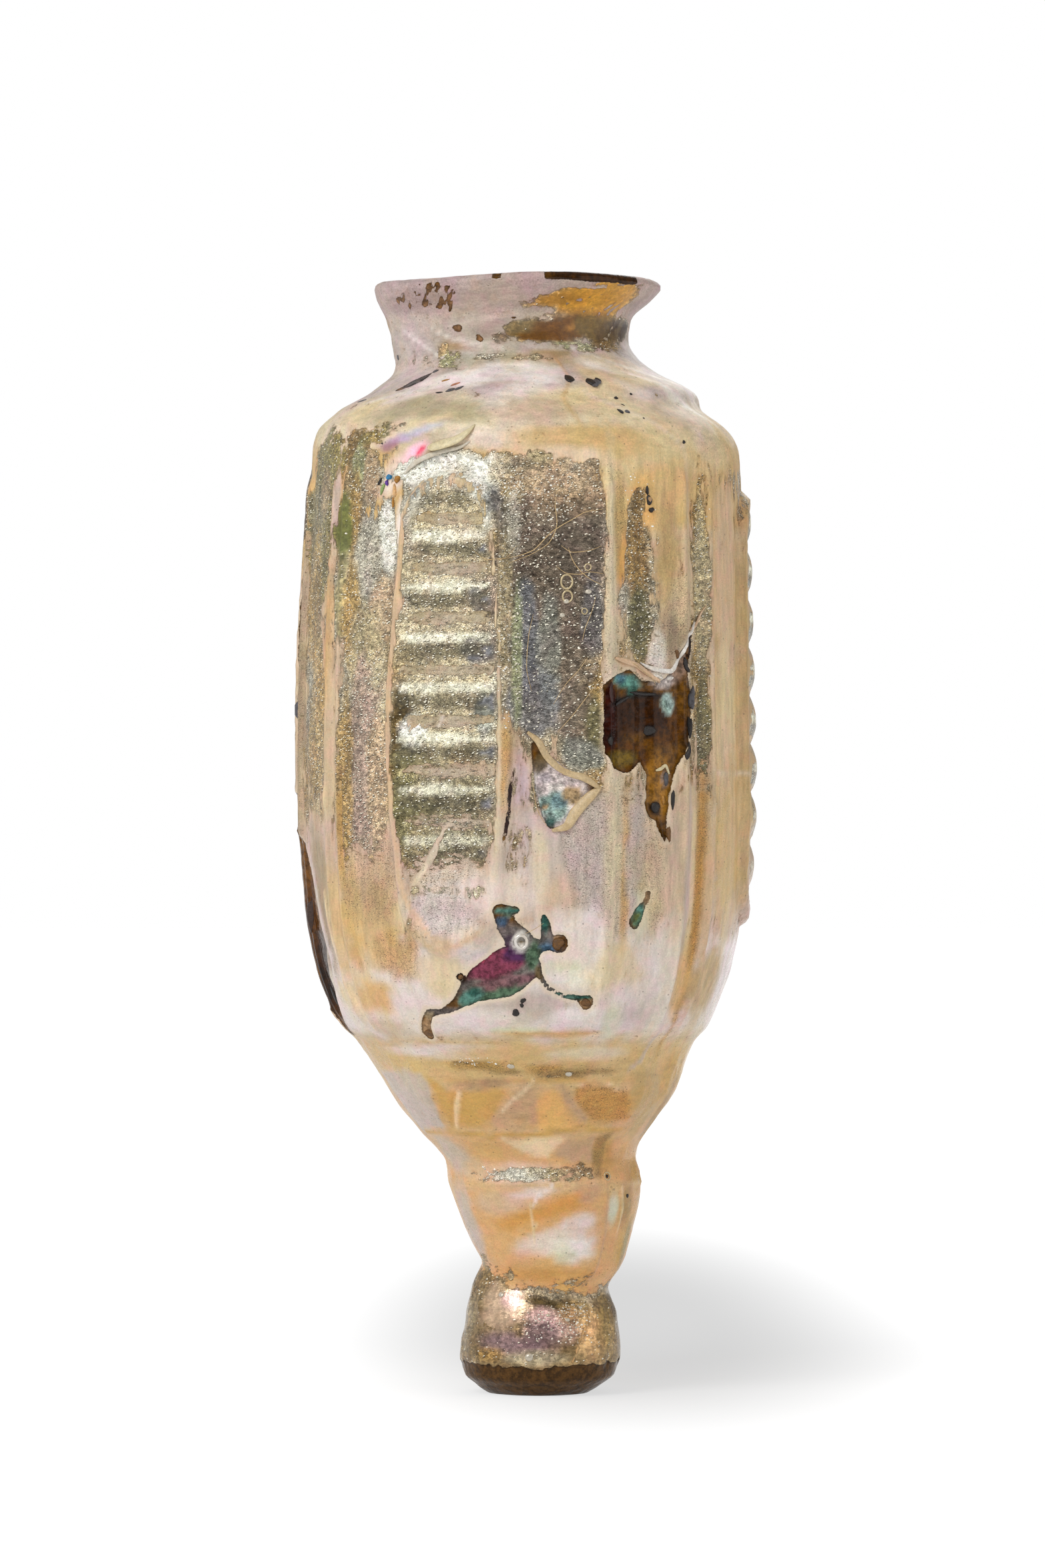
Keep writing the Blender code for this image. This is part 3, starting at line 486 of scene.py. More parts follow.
    (-66, 22, 2.4, 5, 0, "grey_lilac", "pearl", 0.9), (-4, 16.2, 7, 0.9, 4, "orange", "pearl", 0.7),
    (22, 15.4, 3.4, 1.1, -8, "pale_orange", "pearl", 0.95),
    # knob
    # The copper and pink satin strokes on the knob's upper left are partly its copper foil and partly a
    # painted highlight
    (0, 8.2, 90, 7.4, 0, "bronze", "burnished", 1), (-30, 12, 3.6, 2.4, 0, "copper", "satin_foil", 1),
    (-26, 12.6, 1.6, 1.5, 20, "foil_pink", "satin_foil", 0.9),
    (-38, 9.8, 3, 1.6, 0, "copper", "satin_foil", 0.8),
    (8, 12.6, 4.6, 0.9, -8, "dark_olive", "dark", 1), (28, 12.6, 2.2, 0.7, -4, "gold", "grain", 0.9),
    (12, 9.6, 3.6, 2, -12, "foil_pink", "shine", 1),
    (24, 10.4, 2.4, 2.2, 0, "foil_gold", "shine", 0.95),
    (0, 8.2, 2.6, 1.8, -20, "lavender_foil", "burnished", 0.8),
    (-28, 6.6, 5, 1.6, -6, "lavender_foil", "burnished", 0.9),
    (-6, 5, 4.4, 0.9, 0, "grey_gold", "burnished", 0.8),
    (-40, 5.4, 2.4, 0.9, 0, "gold_film", "grain", 0.7),
    (42, 8.4, 2.4, 3.8, 0, "foil_gold", "burnished", 0.85),
    (60, 9.4, 2.4, 4, 0, "gold", "burnished", 0.9),
    (0, 10.8, 2.2, 1.4, 0, "foil_pink", "satin_foil", 0.65),
    (-70, 9, 3, 4, 0, "dull_gold", "burnished", 0.9),
)

# Strokes at random over the hidden side: between which angles they lie, their least and most half
# width, half height, tilt and strength, and how much flatter they are off the body
HIDDEN_SEED = 31
HIDDEN_SPAN = (98.0, 276.0)
HIDDEN_W = (2.0, 7.0)
HIDDEN_H = (1.2, 6.0)
HIDDEN_TILT = (-20.0, 20.0)
HIDDEN_STRENGTH = (0.5, 0.9)
HIDDEN_FLAT = 0.4
BODY_FROM = 44.0
BODY_TO = 117.0
# From and to in height, how many strokes, and their tones and finishes
HIDDEN = (
    (126, 137, 16, (("neck_dusk", "satin"), ("rim_lilac", "matte"), ("lilac", "satin"),
     ("dusk_gold", "satin"))),
    (112, 126, 22, (("stone", "satin"), ("warm_cream", "satin"), ("pearl", "pearl"),
     ("dusk_gold", "grain"), ("golden_cream", "satin"), ("yellow_green", "grain"))),
    (64, 112, 44, (("silver_gold", "sparkle"), ("grey_gold", "sparkle"), ("gold", "grain"),
     ("peach", "pitted"), ("warm_cream", "satin"), ("lilac", "pitted"), ("brown_foil", "mirror"),
     ("green_slate", "grain"), ("shade_beige", "pitted"), ("golden_cream", "pitted"))),
    (44, 66, 30, (("warm_cream", "pearl"), ("golden_cream", "pitted"), ("pale_lilac", "pearl"),
     ("gold_peach", "pearl"), ("green_veil", "pearl"), ("peach", "pitted"), ("lilac", "pearl"))),
    (27, 44, 26, (("gold_film", "pearl"), ("rose_beige", "satin"), ("pale_orange", "pearl"),
     ("beige", "pearl"), ("grey_lilac", "pearl"), ("olive_gold", "pitted"))),
    (14.5, 27, 16, (("orange", "pearl"), ("pearl", "pearl"), ("gold_film", "pearl"),
     ("grey_lilac", "pearl"))),
    (4.5, 13.5, 14, (("copper", "satin_foil"), ("gold_tan", "burnished"), ("foil_gold", "shine"),
     ("lavender_foil", "burnished"), ("dark_olive", "dark"))),
)

# Flakes with a clear outline: tone, finish, strength, and the outline's points of (angle, height)
PLATES = (
    ("grey_lilac", "pearl", 0.9, ((-76, 40.6), (-58, 40.9), (-44, 40.6), (-42, 38.4), (-44.6, 35.6),
     (-45.6, 33.6), (-76, 33))),
    ("gold_film", "pearl", 0.9, ((-41, 40.2), (-36, 38.6), (-27, 38.4), (-16, 38.9), (-9, 38.8),
     (-15, 36.6), (-20, 35.2), (-27, 33.9), (-38, 33.8), (-42, 35))),
    ("rose_beige", "satin", 0.7, ((-20.6, 34.2), (-15.4, 36.6), (-8, 38.6), (-2, 39.8), (1.2, 39),
     (0.8, 36.6), (1.4, 34.4), (-6, 33.5), (-16, 33.5))),
    ("pale_orange", "pearl", 1, ((1.6, 36.8), (4, 38.1), (8, 38.7), (12, 37.9), (14, 36), (18, 34.6),
     (21, 33.9), (11, 33.6), (2.4, 33.6))),
    ("rose_beige", "pearl", 0.7, ((7, 39.2), (13, 39.4), (17, 37.6), (25, 35), (22, 34), (15, 36.4),
     (12, 38))),
    ("orange", "pitted", 0.85, ((16.6, 38.8), (21, 39.4), (30, 39.2), (40, 37.9), (46.6, 34.8),
     (36, 34.2), (26, 35), (18, 37.2))),
    ("gold_tan", "pearl", 0.8, ((38.6, 40.6), (54, 40.9), (60, 38), (50, 34.8), (47, 34.8),
     (41.4, 37.8))),
    ("pale_cream", "pearl", 1, ((-17, 32.3), (-9, 32.2), (0.6, 32.8), (16.9, 32.5), (5.7, 30.2),
     (-2, 30.2), (-10.6, 31.2))),
    ("rose_beige", "pearl", 1, ((17.5, 32.4), (33, 32.9), (32.8, 29.6), (18.7, 29.2), (8.1, 30.5))),
    ("olive_gold", "pitted", 0.6, ((34, 33.2), (42, 33), (41, 30), (36, 27.5), (27.7, 27),
     (32.9, 29.9))),
)

# Where the crust is lost.  Each has a name, depth, raised lip, pale edge, fraying, and a closed outline
# or strokes of (angle, height, half width).
LOSSES = (
    ("right flank", 0.42, 0.1, 0.5, 0.3, "outline", ((20.4, 88.6), (24.5, 89.9), (28, 90.2),
     (31.5, 88.9), (36, 88.7), (40.5, 90), (43, 92.3), (46, 95), (49.2, 95.2), (48, 92.6), (45.6, 90),
     (48.8, 86.8), (47, 83.2), (44, 79.8), (40.8, 77), (39.2, 73.8), (38.6, 69.2), (36.4, 70.6),
     (32.4, 73.2), (32.6, 77.6), (30.6, 79), (26.5, 77.6), (22.5, 78.2), (20.4, 80.2), (20.2, 84))),
    ("lifted flap", 0.3, 0, 0, 0.1, "outline", ((1.7, 81.8), (10.3, 78.4), (18.4, 75.9), (14.5, 73.2),
     (11.8, 71.3), (8.8, 70.8), (6.4, 70.9), (4.6, 72.4), (3, 75.2), (2.3, 78.5))),
    ("low scar, head", 0.28, 0.05, 0.7, 0.16, "strokes", ((-2, 60.9, 0.5), (-6, 60.8, 0.8),
     (-4.4, 58.9, 1.2), (-1.6, 57.4, 1.6), (0.6, 55.8, 1.8), (-6, 54, 2), (-12, 52.2, 1.9),
     (-16.6, 50.4, 1.3), (-20.4, 49.2, 0.6), (-24.6, 48.4, 0.35), (-29.4, 48.2, 0.55),
     (-31.4, 46.8, 0.7), (-32, 45.9, 0.9))),
    ("low scar, arm", 0.24, 0.05, 0.6, 0.14, "strokes", ((5.2, 60, 0.45), (6, 58.2, 0.7),
     (6.2, 56.7, 0.8), (9.2, 56.8, 1.2))),
    ("low scar, elbow", 0.24, 0.05, 0.6, 0.14, "strokes", ((-1, 57, 1), (6, 56.4, 0.6))),
    ("low scar, belly", 0.28, 0.05, 0.7, 0.16, "strokes", ((-13, 50.8, 1.1), (-5, 51.6, 1.4),
     (1.6, 53.8, 1.4))),
    ("low scar, tail", 0.2, 0.05, 0.6, 0.1, "strokes", ((2.6, 54.6, 0.7), (4.2, 52.9, 0.4),
     (6.6, 51.4, 0.28), (11, 50.4, 0.26), (15.6, 50.1, 0.35), (18, 49.6, 0.95))),
    ("green drop", 0.18, 0.02, 0.3, 0.12, "strokes", ((30.2, 59.5, 0.95), (31.2, 60.5, 0.8),
     (32.5, 61.5, 0.45))),
    ("beige nick", 0.12, 0.02, 0.2, 0.08, "strokes", ((33.6, 61.8, 0.3), (33.8, 63, 0.3))),
    ("round nick", 0.24, 0.04, 0.4, 0.1, "strokes", ((-17.9, 52.7, 0.5), (-17.5, 52.7, 0.5))),
    ("slit", 0.35, 0.04, 0.3, 0.1, "strokes", ((-2.5, 77.8, 0.12), (-3.4, 75.2, 0.24),
     (-3.7, 72.6, 0.24), (-4.8, 69.3, 0.22))),
    ("left flank, long", 0.36, 0.05, 0.4, 0.35, "strokes", ((-92, 75, 1.2), (-84, 70, 2.2),
     (-78, 64, 3), (-74.5, 57, 3.1), (-76, 51.6, 2.6), (-79, 46.8, 1.7))),
    ("left flank, behind", 0.36, 0.05, 0.4, 0.35, "strokes", ((-91, 68, 3), (-87.5, 58, 4),
     (-86, 51, 3.2), (-84.5, 46.4, 1.8))),
    ("left flank, lens", 0.3, 0.05, 0.4, 0.25, "strokes", ((-87, 88, 1), (-86.5, 85, 1))),
    ("left flank, upper", 0.3, 0.05, 0.4, 0.3, "strokes", ((-88, 99.6, 0.7), (-87.5, 96, 1.1),
     (-87, 92.6, 1.1))),
    ("left flank, nick", 0.2, 0.03, 0.3, 0.2, "strokes", ((-83, 106.6, 0.6), (-83, 104.4, 0.7))),
    ("rim speckle", 0.05, 0, 0, 0.45, "specks", ((-60, 136.6, 0.7), (-50, 137.2, 0.9),
     (-46, 137.2, 0.8), (-40, 137.2, 1.3), (-28, 136.8, 1.4), (-25, 136.2, 0.6))),
    ("neck chips", 0.1, 0, 0, 0.3, "strokes", ((-26.2, 133.1, 0.4), (-25, 133.1, 0.42))),
    ("neck chips, low", 0.1, 0, 0, 0.3, "strokes", ((-15.6, 131.8, 0.25), (-14.6, 131.6, 0.3))),
    ("neck chips, left", 0.1, 0, 0, 0.2, "strokes", ((-40.6, 131.9, 0.25), (-39.8, 131.9, 0.25))),
    ("neck speck", 0.08, 0, 0, 0.15, "strokes", ((1.6, 134.3, 0.2), (2.4, 134.3, 0.2))),
    ("shoulder streak", 0.1, 0, 0, 0.55, "strokes", ((-53, 125.4, 0.12), (-49, 126.2, 0.34),
     (-44, 127.2, 0.42), (-40.6, 128.2, 0.16))),
    ("lip", 0.06, 0, 0, 0.15, "strokes", ((12, 139.4, 0.6), (36, 139.4, 0.7), (54, 139.3, 0.5))),
    ("lip, right", 0.06, 0, 0, 0.2, "strokes", ((60, 138.9, 0.12), (78, 138.7, 0.1))),
    ("lip chip", 0.06, 0, 0, 0.15, "strokes", ((-9.6, 139.3, 0.4), (-7.2, 139.3, 0.4))),
    ("back flank", 0.36, 0.06, 0.5, 0.4, "strokes", ((152, 78, 1.2), (157, 73, 2.2), (159, 67, 1.3))),
    ("back shoulder", 0.2, 0.04, 0.3, 0.35, "strokes", ((236, 119.6, 1), (244, 118.2, 1.5))),
)

# A loss's edge: from untouched to full depth, half the width of its lip, and from where to where its
# pale edge grows; and the specks' gain and threshold
LOSS_EDGE = (-0.12, 0.32)
LOSS_LIP_HALF = 0.45
LOSS_PALE = (-1.5, -0.3)
SPECK_GAIN = 0.9
SPECK_CUT = 0.08

# Colours of what the losses lay bare: angle, height, half width, half height, tilt, tone, film, strength
BARED = (
    (30, 83, 7, 6, 0, "brown", 0, 1), (38, 84, 4, 3.4, 0, "rust_brown", 0, 0.9),
    (22.4, 83.4, 2.4, 4.8, 0, "dark_brown", 0, 1), (27, 79.6, 4, 2.4, 0, "rust_brown", 0, 0.9),
    (31, 84.9, 5.6, 3, 0, "dark_brown", 0, 0.95), (22, 86.8, 0.9, 2.4, 0, "red_brown", 0, 1),
    (21.6, 83.4, 1.4, 4.2, 0, "red_brown", 0, 0.85), (25.4, 79.4, 2.6, 1.2, 0, "yellow_olive", 0, 0.8),
    (32, 77.4, 2.8, 2.4, 0, "rust_brown", 0, 0.9), (36.5, 76.5, 2.4, 3.8, 0, "amber", 0, 0.6),
    (27.2, 88.9, 2.6, 1.1, -8, "teal", 0.6, 1), (25.4, 89.2, 0.9, 0.6, 0, "blue", 0.6, 0.7),
    (28.6, 87.6, 1, 0.6, 0, "deep_teal", 0.6, 0.8), (39.6, 86.2, 1.3, 1.6, 20, "pale_teal", 0.6, 1),
    (38, 89, 2.4, 0.8, 0, "pale_lilac", 0.3, 0.85), (43.6, 90.8, 0.9, 2.6, -20, "lavender", 0.2, 0.8),
    (25.2, 86.6, 1.6, 0.35, 20, "black", 0, 0.9), (33.4, 87.3, 2.6, 0.35, 0, "black", 0, 0.95),
    (34, 82.8, 0.95, 0.9, 0, "black", 0, 1), (21.8, 81.7, 0.5, 0.8, 0, "black", 0, 1),
    (35.5, 73.4, 0.95, 0.8, 0, "black", 0, 1), (38.6, 77.1, 0.7, 1, 0, "lavender", 0, 0.9),
    (38, 74.6, 0.7, 0.8, 0, "amber", 0, 0.8), (45.6, 83, 0.6, 2.8, -14, "black", 0, 0.65),
    (47, 93.4, 1.2, 1.6, -20, "dark_brown", 0, 0.9),
    # lifted flap
    (8, 75.6, 5, 5, 0, "pale_lilac", 0.5, 1), (7.4, 73.4, 1.9, 1.8, 0, "pale_teal", 0.7, 1),
    (9.2, 74.2, 1.2, 1, 0, "blue", 0.7, 0.5), (6.6, 71.6, 0.8, 0.8, 0, "deep_teal", 0.7, 0.85),
    (5.6, 73.4, 0.4, 0.4, 0, "tan", 0.2, 0.95), (4.4, 79, 1.1, 1.6, -24, "dark_olive", 0.1, 0.9),
    (12.6, 75, 1.3, 1.2, -30, "olive_gold", 0.1, 0.85), (5.4, 76.9, 1.1, 0.7, 0, "violet", 0.5, 0.2),
    # low scar
    (-5, 54, 9, 6, 0, "film_grey", 0.5, 1), (-4.2, 60.8, 1.8, 0.6, 0, "teal", 0.6, 1),
    (-2.4, 60.8, 0.8, 0.5, 0, "deep_teal", 0.6, 0.8), (-5.6, 59.6, 0.8, 0.6, 0, "blue", 0.6, 0.9),
    (-8, 54.4, 4.4, 1.7, 18, "magenta", 0.5, 1), (-10.6, 55.4, 2.4, 0.5, 32, "red", 0.5, 0.55),
    (-1, 55.8, 2.2, 1.2, 12, "purple", 0.5, 0.95), (-3.6, 57, 1.2, 0.9, 20, "purple", 0.5, 0.6),
    (-5, 52, 4.2, 1, 8, "magenta", 0.5, 0.45), (2.4, 55.4, 1, 1.8, 0, "film_green", 0.5, 0.9),
    (-8, 50.5, 5.2, 0.7, 14, "film_green", 0.5, 0.95), (-15.6, 50.2, 2, 0.9, 24, "teal", 0.6, 0.95),
    (-14.6, 50.9, 0.8, 0.5, 0, "deep_teal", 0.6, 0.7), (-25, 48.5, 3.6, 0.7, 0, "film_grey", 0.2, 0.9),
    (-31.4, 46.2, 1.4, 1.2, 0, "tan", 0, 1), (-30, 48, 0.9, 0.6, 0, "dull_gold", 0.1, 0.7),
    (-0.8, 57, 1.2, 1.2, 0, "ring_white", 0.1, 1), (-0.8, 57, 0.45, 0.55, 0, "dark_olive", 0, 1),
    (5.6, 59.4, 0.7, 1.4, 0, "deep_teal", 0.6, 0.9), (6.4, 56.4, 1.2, 0.7, 0, "blue", 0.6, 0.9),
    (9.4, 56.9, 0.9, 1.1, 0, "dark_brown", 0.1, 1), (8.8, 57.6, 0.6, 0.5, 0, "tan", 0.2, 0.8),
    (10, 50.4, 4, 0.5, 0, "teal", 0.6, 0.85), (4, 53, 0.6, 1.2, 0, "dark_olive", 0.1, 0.9),
    (18, 49.4, 0.9, 0.7, 0, "tan", 0, 1), (17, 50.2, 1, 0.35, 0, "deep_teal", 0.6, 0.95),
    # small ones
    (31.2, 60, 1.2, 1.6, 0, "film_green", 0.5, 1), (32.4, 61.1, 0.9, 0.8, 0, "teal", 0.6, 0.9),
    (30.6, 60, 0.5, 0.8, -30, "dark_green", 0.2, 0.9), (33.7, 62.4, 0.7, 1.2, 0, "tan", 0, 1),
    (-17.7, 52.7, 1, 1, 0, "dark_brown", 0, 1), (-3.6, 73.6, 1.2, 5, 0, "red_brown", 0, 1),
    (-4.9, 69.4, 0.5, 0.7, 0, "amber", 0, 0.9), (-87, 95, 2, 6, 0, "brown", 0, 1),
    (-80, 58, 7, 12, 0, "rust_brown", 0, 1), (-74, 54, 2.4, 5, 0, "dark_brown", 0, 0.95),
    (-72, 62, 1.6, 4, 0, "rich_brown", 0, 0.8), (-80, 66, 2.6, 3.6, 0, "rich_brown", 0, 0.7),
    (-84, 51, 3, 3.4, 0, "black", 0, 0.7),
    # neck and lip
    (-42, 136.8, 8, 1.8, 0, "tan_brown", 0, 0.9), (-46, 126.6, 3.4, 1.2, 0, "grit", 0, 0.8),
    (-25.6, 133.1, 1.4, 1, 0, "tan_brown", 0, 0.9), (-15, 131.7, 1.2, 0.8, 0, "tan_brown", 0, 0.9),
    (38, 139.2, 9, 1, 0, "dark_brown", 0, 0.85),
)

# The worn foot: its height, how deep it is worn, and the fraying of its upper edge
WEAR_Z = 4.0
WEAR_DEPTH = 0.22
WEAR_FRAY = 0.5

# A raised line's edge and fraying, a flake's edge, and the edges of soft and of crisp brush strokes
LINE_EDGE = (-0.30, 0.15)
LINE_FRAY = 0.10
FLAKE_EDGE = (-0.35, 0.45)
BRUSH_SOFT = (0.45, 1.30)
BRUSH_CRISP = (0.72, 1.12)

# Thin raised lines of the crust: height, tone, strength, then points of (angle, height, half width)
LINES = (
    (0.22, "peach", 0.85, ((-31.9, 109.4, 0.28), (-31.9, 104, 0.3), (-32.6, 96, 0.32),
     (-34.2, 88.5, 0.34), (-34.6, 81, 0.36), (-33.8, 74, 0.34), (-32.2, 68, 0.32), (-31.8, 64.4, 0.28),
     (-28.6, 60.4, 0.3), (-23.5, 57.4, 0.32), (-17.5, 56.4, 0.34), (-11.5, 58, 0.26))),
    (0.16, "cream", 0.8, ((-8.2, 107, 0.1), (-7.3, 102, 0.12), (-6.1, 94, 0.12), (-5.8, 86, 0.12),
     (-5.7, 78, 0.16), (-6.2, 72, 0.22), (-7.1, 65, 0.22))),
    (0.22, "cream", 0.9, ((-19.6, 70.6, 0.14), (-21.2, 68.8, 0.24), (-23.6, 67, 0.24),
     (-27.8, 64, 0.16))),
    (0.1, "white_veil", 0.5, ((-62, 133.4, 0.1), (-52, 132, 0.22), (-44, 130.6, 0.2),
     (-38, 129.6, 0.08))),
    (0.08, "white_veil", 0.45, ((-40, 133.2, 0.08), (-28, 131.6, 0.22), (-16, 131, 0.26),
     (-6, 130.6, 0.1))),
    (0.1, "white_veil", 0.6, ((-30, 127.2, 0.1), (-20, 127.6, 0.4), (-8, 127.4, 0.36),
     (6, 126.8, 0.12))),
    (0.1, "white_veil", 0.55, ((-58, 123.8, 0.1), (-46, 124.8, 0.3), (-36, 125.2, 0.24),
     (-30, 125.8, 0.08))),
    (0.08, "white_veil", 0.5, ((22, 131.2, 0.06), (34, 130, 0.14), (46, 128.6, 0.26), (60, 127.2, 0.2),
     (72, 126.6, 0.06))),
    (0.08, "white_veil", 0.55, ((40, 127.8, 0.06), (50, 126.4, 0.18), (60, 124.4, 0.26),
     (70, 121.4, 0.1))),
    (0.06, "pearl", 0.5, ((18, 124.8, 0.06), (28, 123.2, 0.2), (38, 120.8, 0.2), (46, 117.8, 0.08))),
    (0.06, "dusk_lilac", 0.5, ((-50, 135.6, 0.1), (-30, 135, 0.2), (-10, 135.2, 0.18),
     (4, 135.8, 0.06))),
    (0.06, "dusk_lilac", 0.5, ((-24, 134.2, 0.06), (-12, 133.4, 0.16), (-2, 133.8, 0.16),
     (8, 134.8, 0.06))),
    (0.16, "deep_gold", 0.45, ((14.8, 129, 0.1), (12.1, 125.6, 0.14), (15.2, 120.4, 0.1))),
    (0.1, "white_veil", 0.5, ((-24.9, 86.8, 0.05), (-21.6, 86, 0.05), (-20, 84.3, 0.05),
     (-21.6, 82.4, 0.05), (-24.9, 81.8, 0.05), (-28.2, 82.4, 0.05), (-29.9, 84.3, 0.05),
     (-28.2, 86.2, 0.05), (-24.9, 86.8, 0.05))),
    (0.3, "peach", 0.9, ((23.8, 91.4, 0.22), (28.3, 90.8, 0.3), (35, 89, 0.24))),
    (0.22, "gold_film", 0.9, ((-69.5, 33, 0.18), (-43.4, 33.2, 0.2), (-30.7, 33, 0.2),
     (-22.5, 32.6, 0.26), (-15.8, 33.1, 0.2), (-8.2, 32.8, 0.18), (1.5, 33, 0.22), (11, 33.3, 0.22),
     (22.3, 33.8, 0.2), (34.5, 33.5, 0.18), (52, 33.2, 0.14))),
    (0.14, "golden_cream", 0.6, ((-68.9, 26.2, 0.2), (-23.4, 26.6, 0.16), (-7.7, 26.7, 0.14),
     (31.8, 26.9, 0.16), (90, 26.5, 0.2))),
    (0.22, "pale_cream", 0.85, ((-30.6, 38.3, 0.16), (-33.4, 36.9, 0.26), (-36.6, 35.2, 0.22),
     (-38.9, 34, 0.14))),
    (0.14, "deep_gold", 0.7, ((-33.6, 38.2, 0.1), (-36.8, 36.4, 0.16), (-42.2, 33.8, 0.12))),
    (0.26, "rose_beige", 0.9, ((11.4, 39.2, 0.14), (13, 38, 0.24), (15.9, 36.9, 0.26), (20, 35.8, 0.26),
     (24.4, 34.7, 0.16))),
    (0.2, "grey_lilac", 0.8, ((47, 45.4, 0.16), (45.4, 43.6, 0.22), (43.6, 42.2, 0.22),
     (38.6, 41.1, 0.1))),
    (0.18, "pale_cream", 0.75, ((-14, 36, 0.1), (-9, 37.4, 0.14), (-4, 38.4, 0.14), (0.6, 39.8, 0.08))),
    (0.16, "pale_cream", 0.6, ((17.6, 39, 0.08), (22, 39.6, 0.12), (30, 39.4, 0.12), (36, 38.4, 0.08))),
    (0.12, "gold_film", 0.7, ((20.6, 37.6, 0.08), (24, 38.2, 0.1), (28.4, 37.2, 0.08))),
    (0.12, "gold_film", 0.7, ((24.6, 36.2, 0.08), (29, 36.9, 0.1), (35, 36, 0.08))),
    (0.14, "white_veil", 0.8, ((-8.6, 24.2, 0.06), (-5, 25.2, 0.14), (0.6, 26, 0.1), (4, 26.6, 0.06))),
    (0.1, "pale_cream", 0.7, ((-10.6, 24.4, 0.05), (-10.6, 22, 0.07), (-10.6, 19.6, 0.05))),
    (0.1, "pale_cream", 0.7, ((-14.6, 21.9, 0.05), (-11, 21.9, 0.09), (-8.4, 21.6, 0.05))),
    (0.14, "rose_beige", 0.7, ((39.6, 26.4, 0.1), (40.4, 23.4, 0.12), (41.6, 20, 0.12),
     (38, 16.6, 0.12), (31, 15.2, 0.1))),
    (0.14, "pale_cream", 0.7, ((52, 26, 0.1), (54.6, 23.4, 0.14), (53.6, 20.6, 0.1))),
    (0.12, "cream", 0.7, ((56, 78.2, 0.08), (60, 77.8, 0.1), (66, 77.6, 0.08), (74, 78, 0.08))),
    (0.18, "foil_gold", 0.9, ((40, 11.2, 0.1), (36, 9, 0.16), (28, 6.8, 0.14), (22.6, 4.4, 0.1))),
    (0.18, "bronze", 0.4, ((-59.6, 11.6, 0.14), (-52, 9.8, 0.16), (-41, 8.4, 0.16), (-17, 8, 0.14))),
    (0.14, "pale_cream", 0.7, ((-64, 63, 0.12), (-62, 56, 0.16), (-58, 50, 0.16), (-54, 46, 0.12))),
    (0.12, "pale_cream", 0.6, ((-59, 76, 0.1), (-60.6, 68, 0.14), (-61.6, 60, 0.1))),
    (0.14, "pale_lilac", 0.75, ((-73, 69, 0.12), (-68.4, 62, 0.26), (-65.6, 55, 0.34),
     (-66.4, 50, 0.2))),
    (0.3, "cream", 0.55, ((22.4, 113, 0.4), (22.4, 92, 0.6), (23, 70, 0.5), (23, 52, 0.3))),
    # The silver line over the ribbed panel's head is a painted highlight on the raised arch of its frame
    (0.26, "silver", 0.5, ((-31.8, 108.6, 0.3), (-29.4, 111.8, 0.7), (-24, 113.2, 0.85),
     (-17, 113.5, 0.8), (-12.6, 112.2, 0.6), (-9.6, 109.4, 0.36))),
)


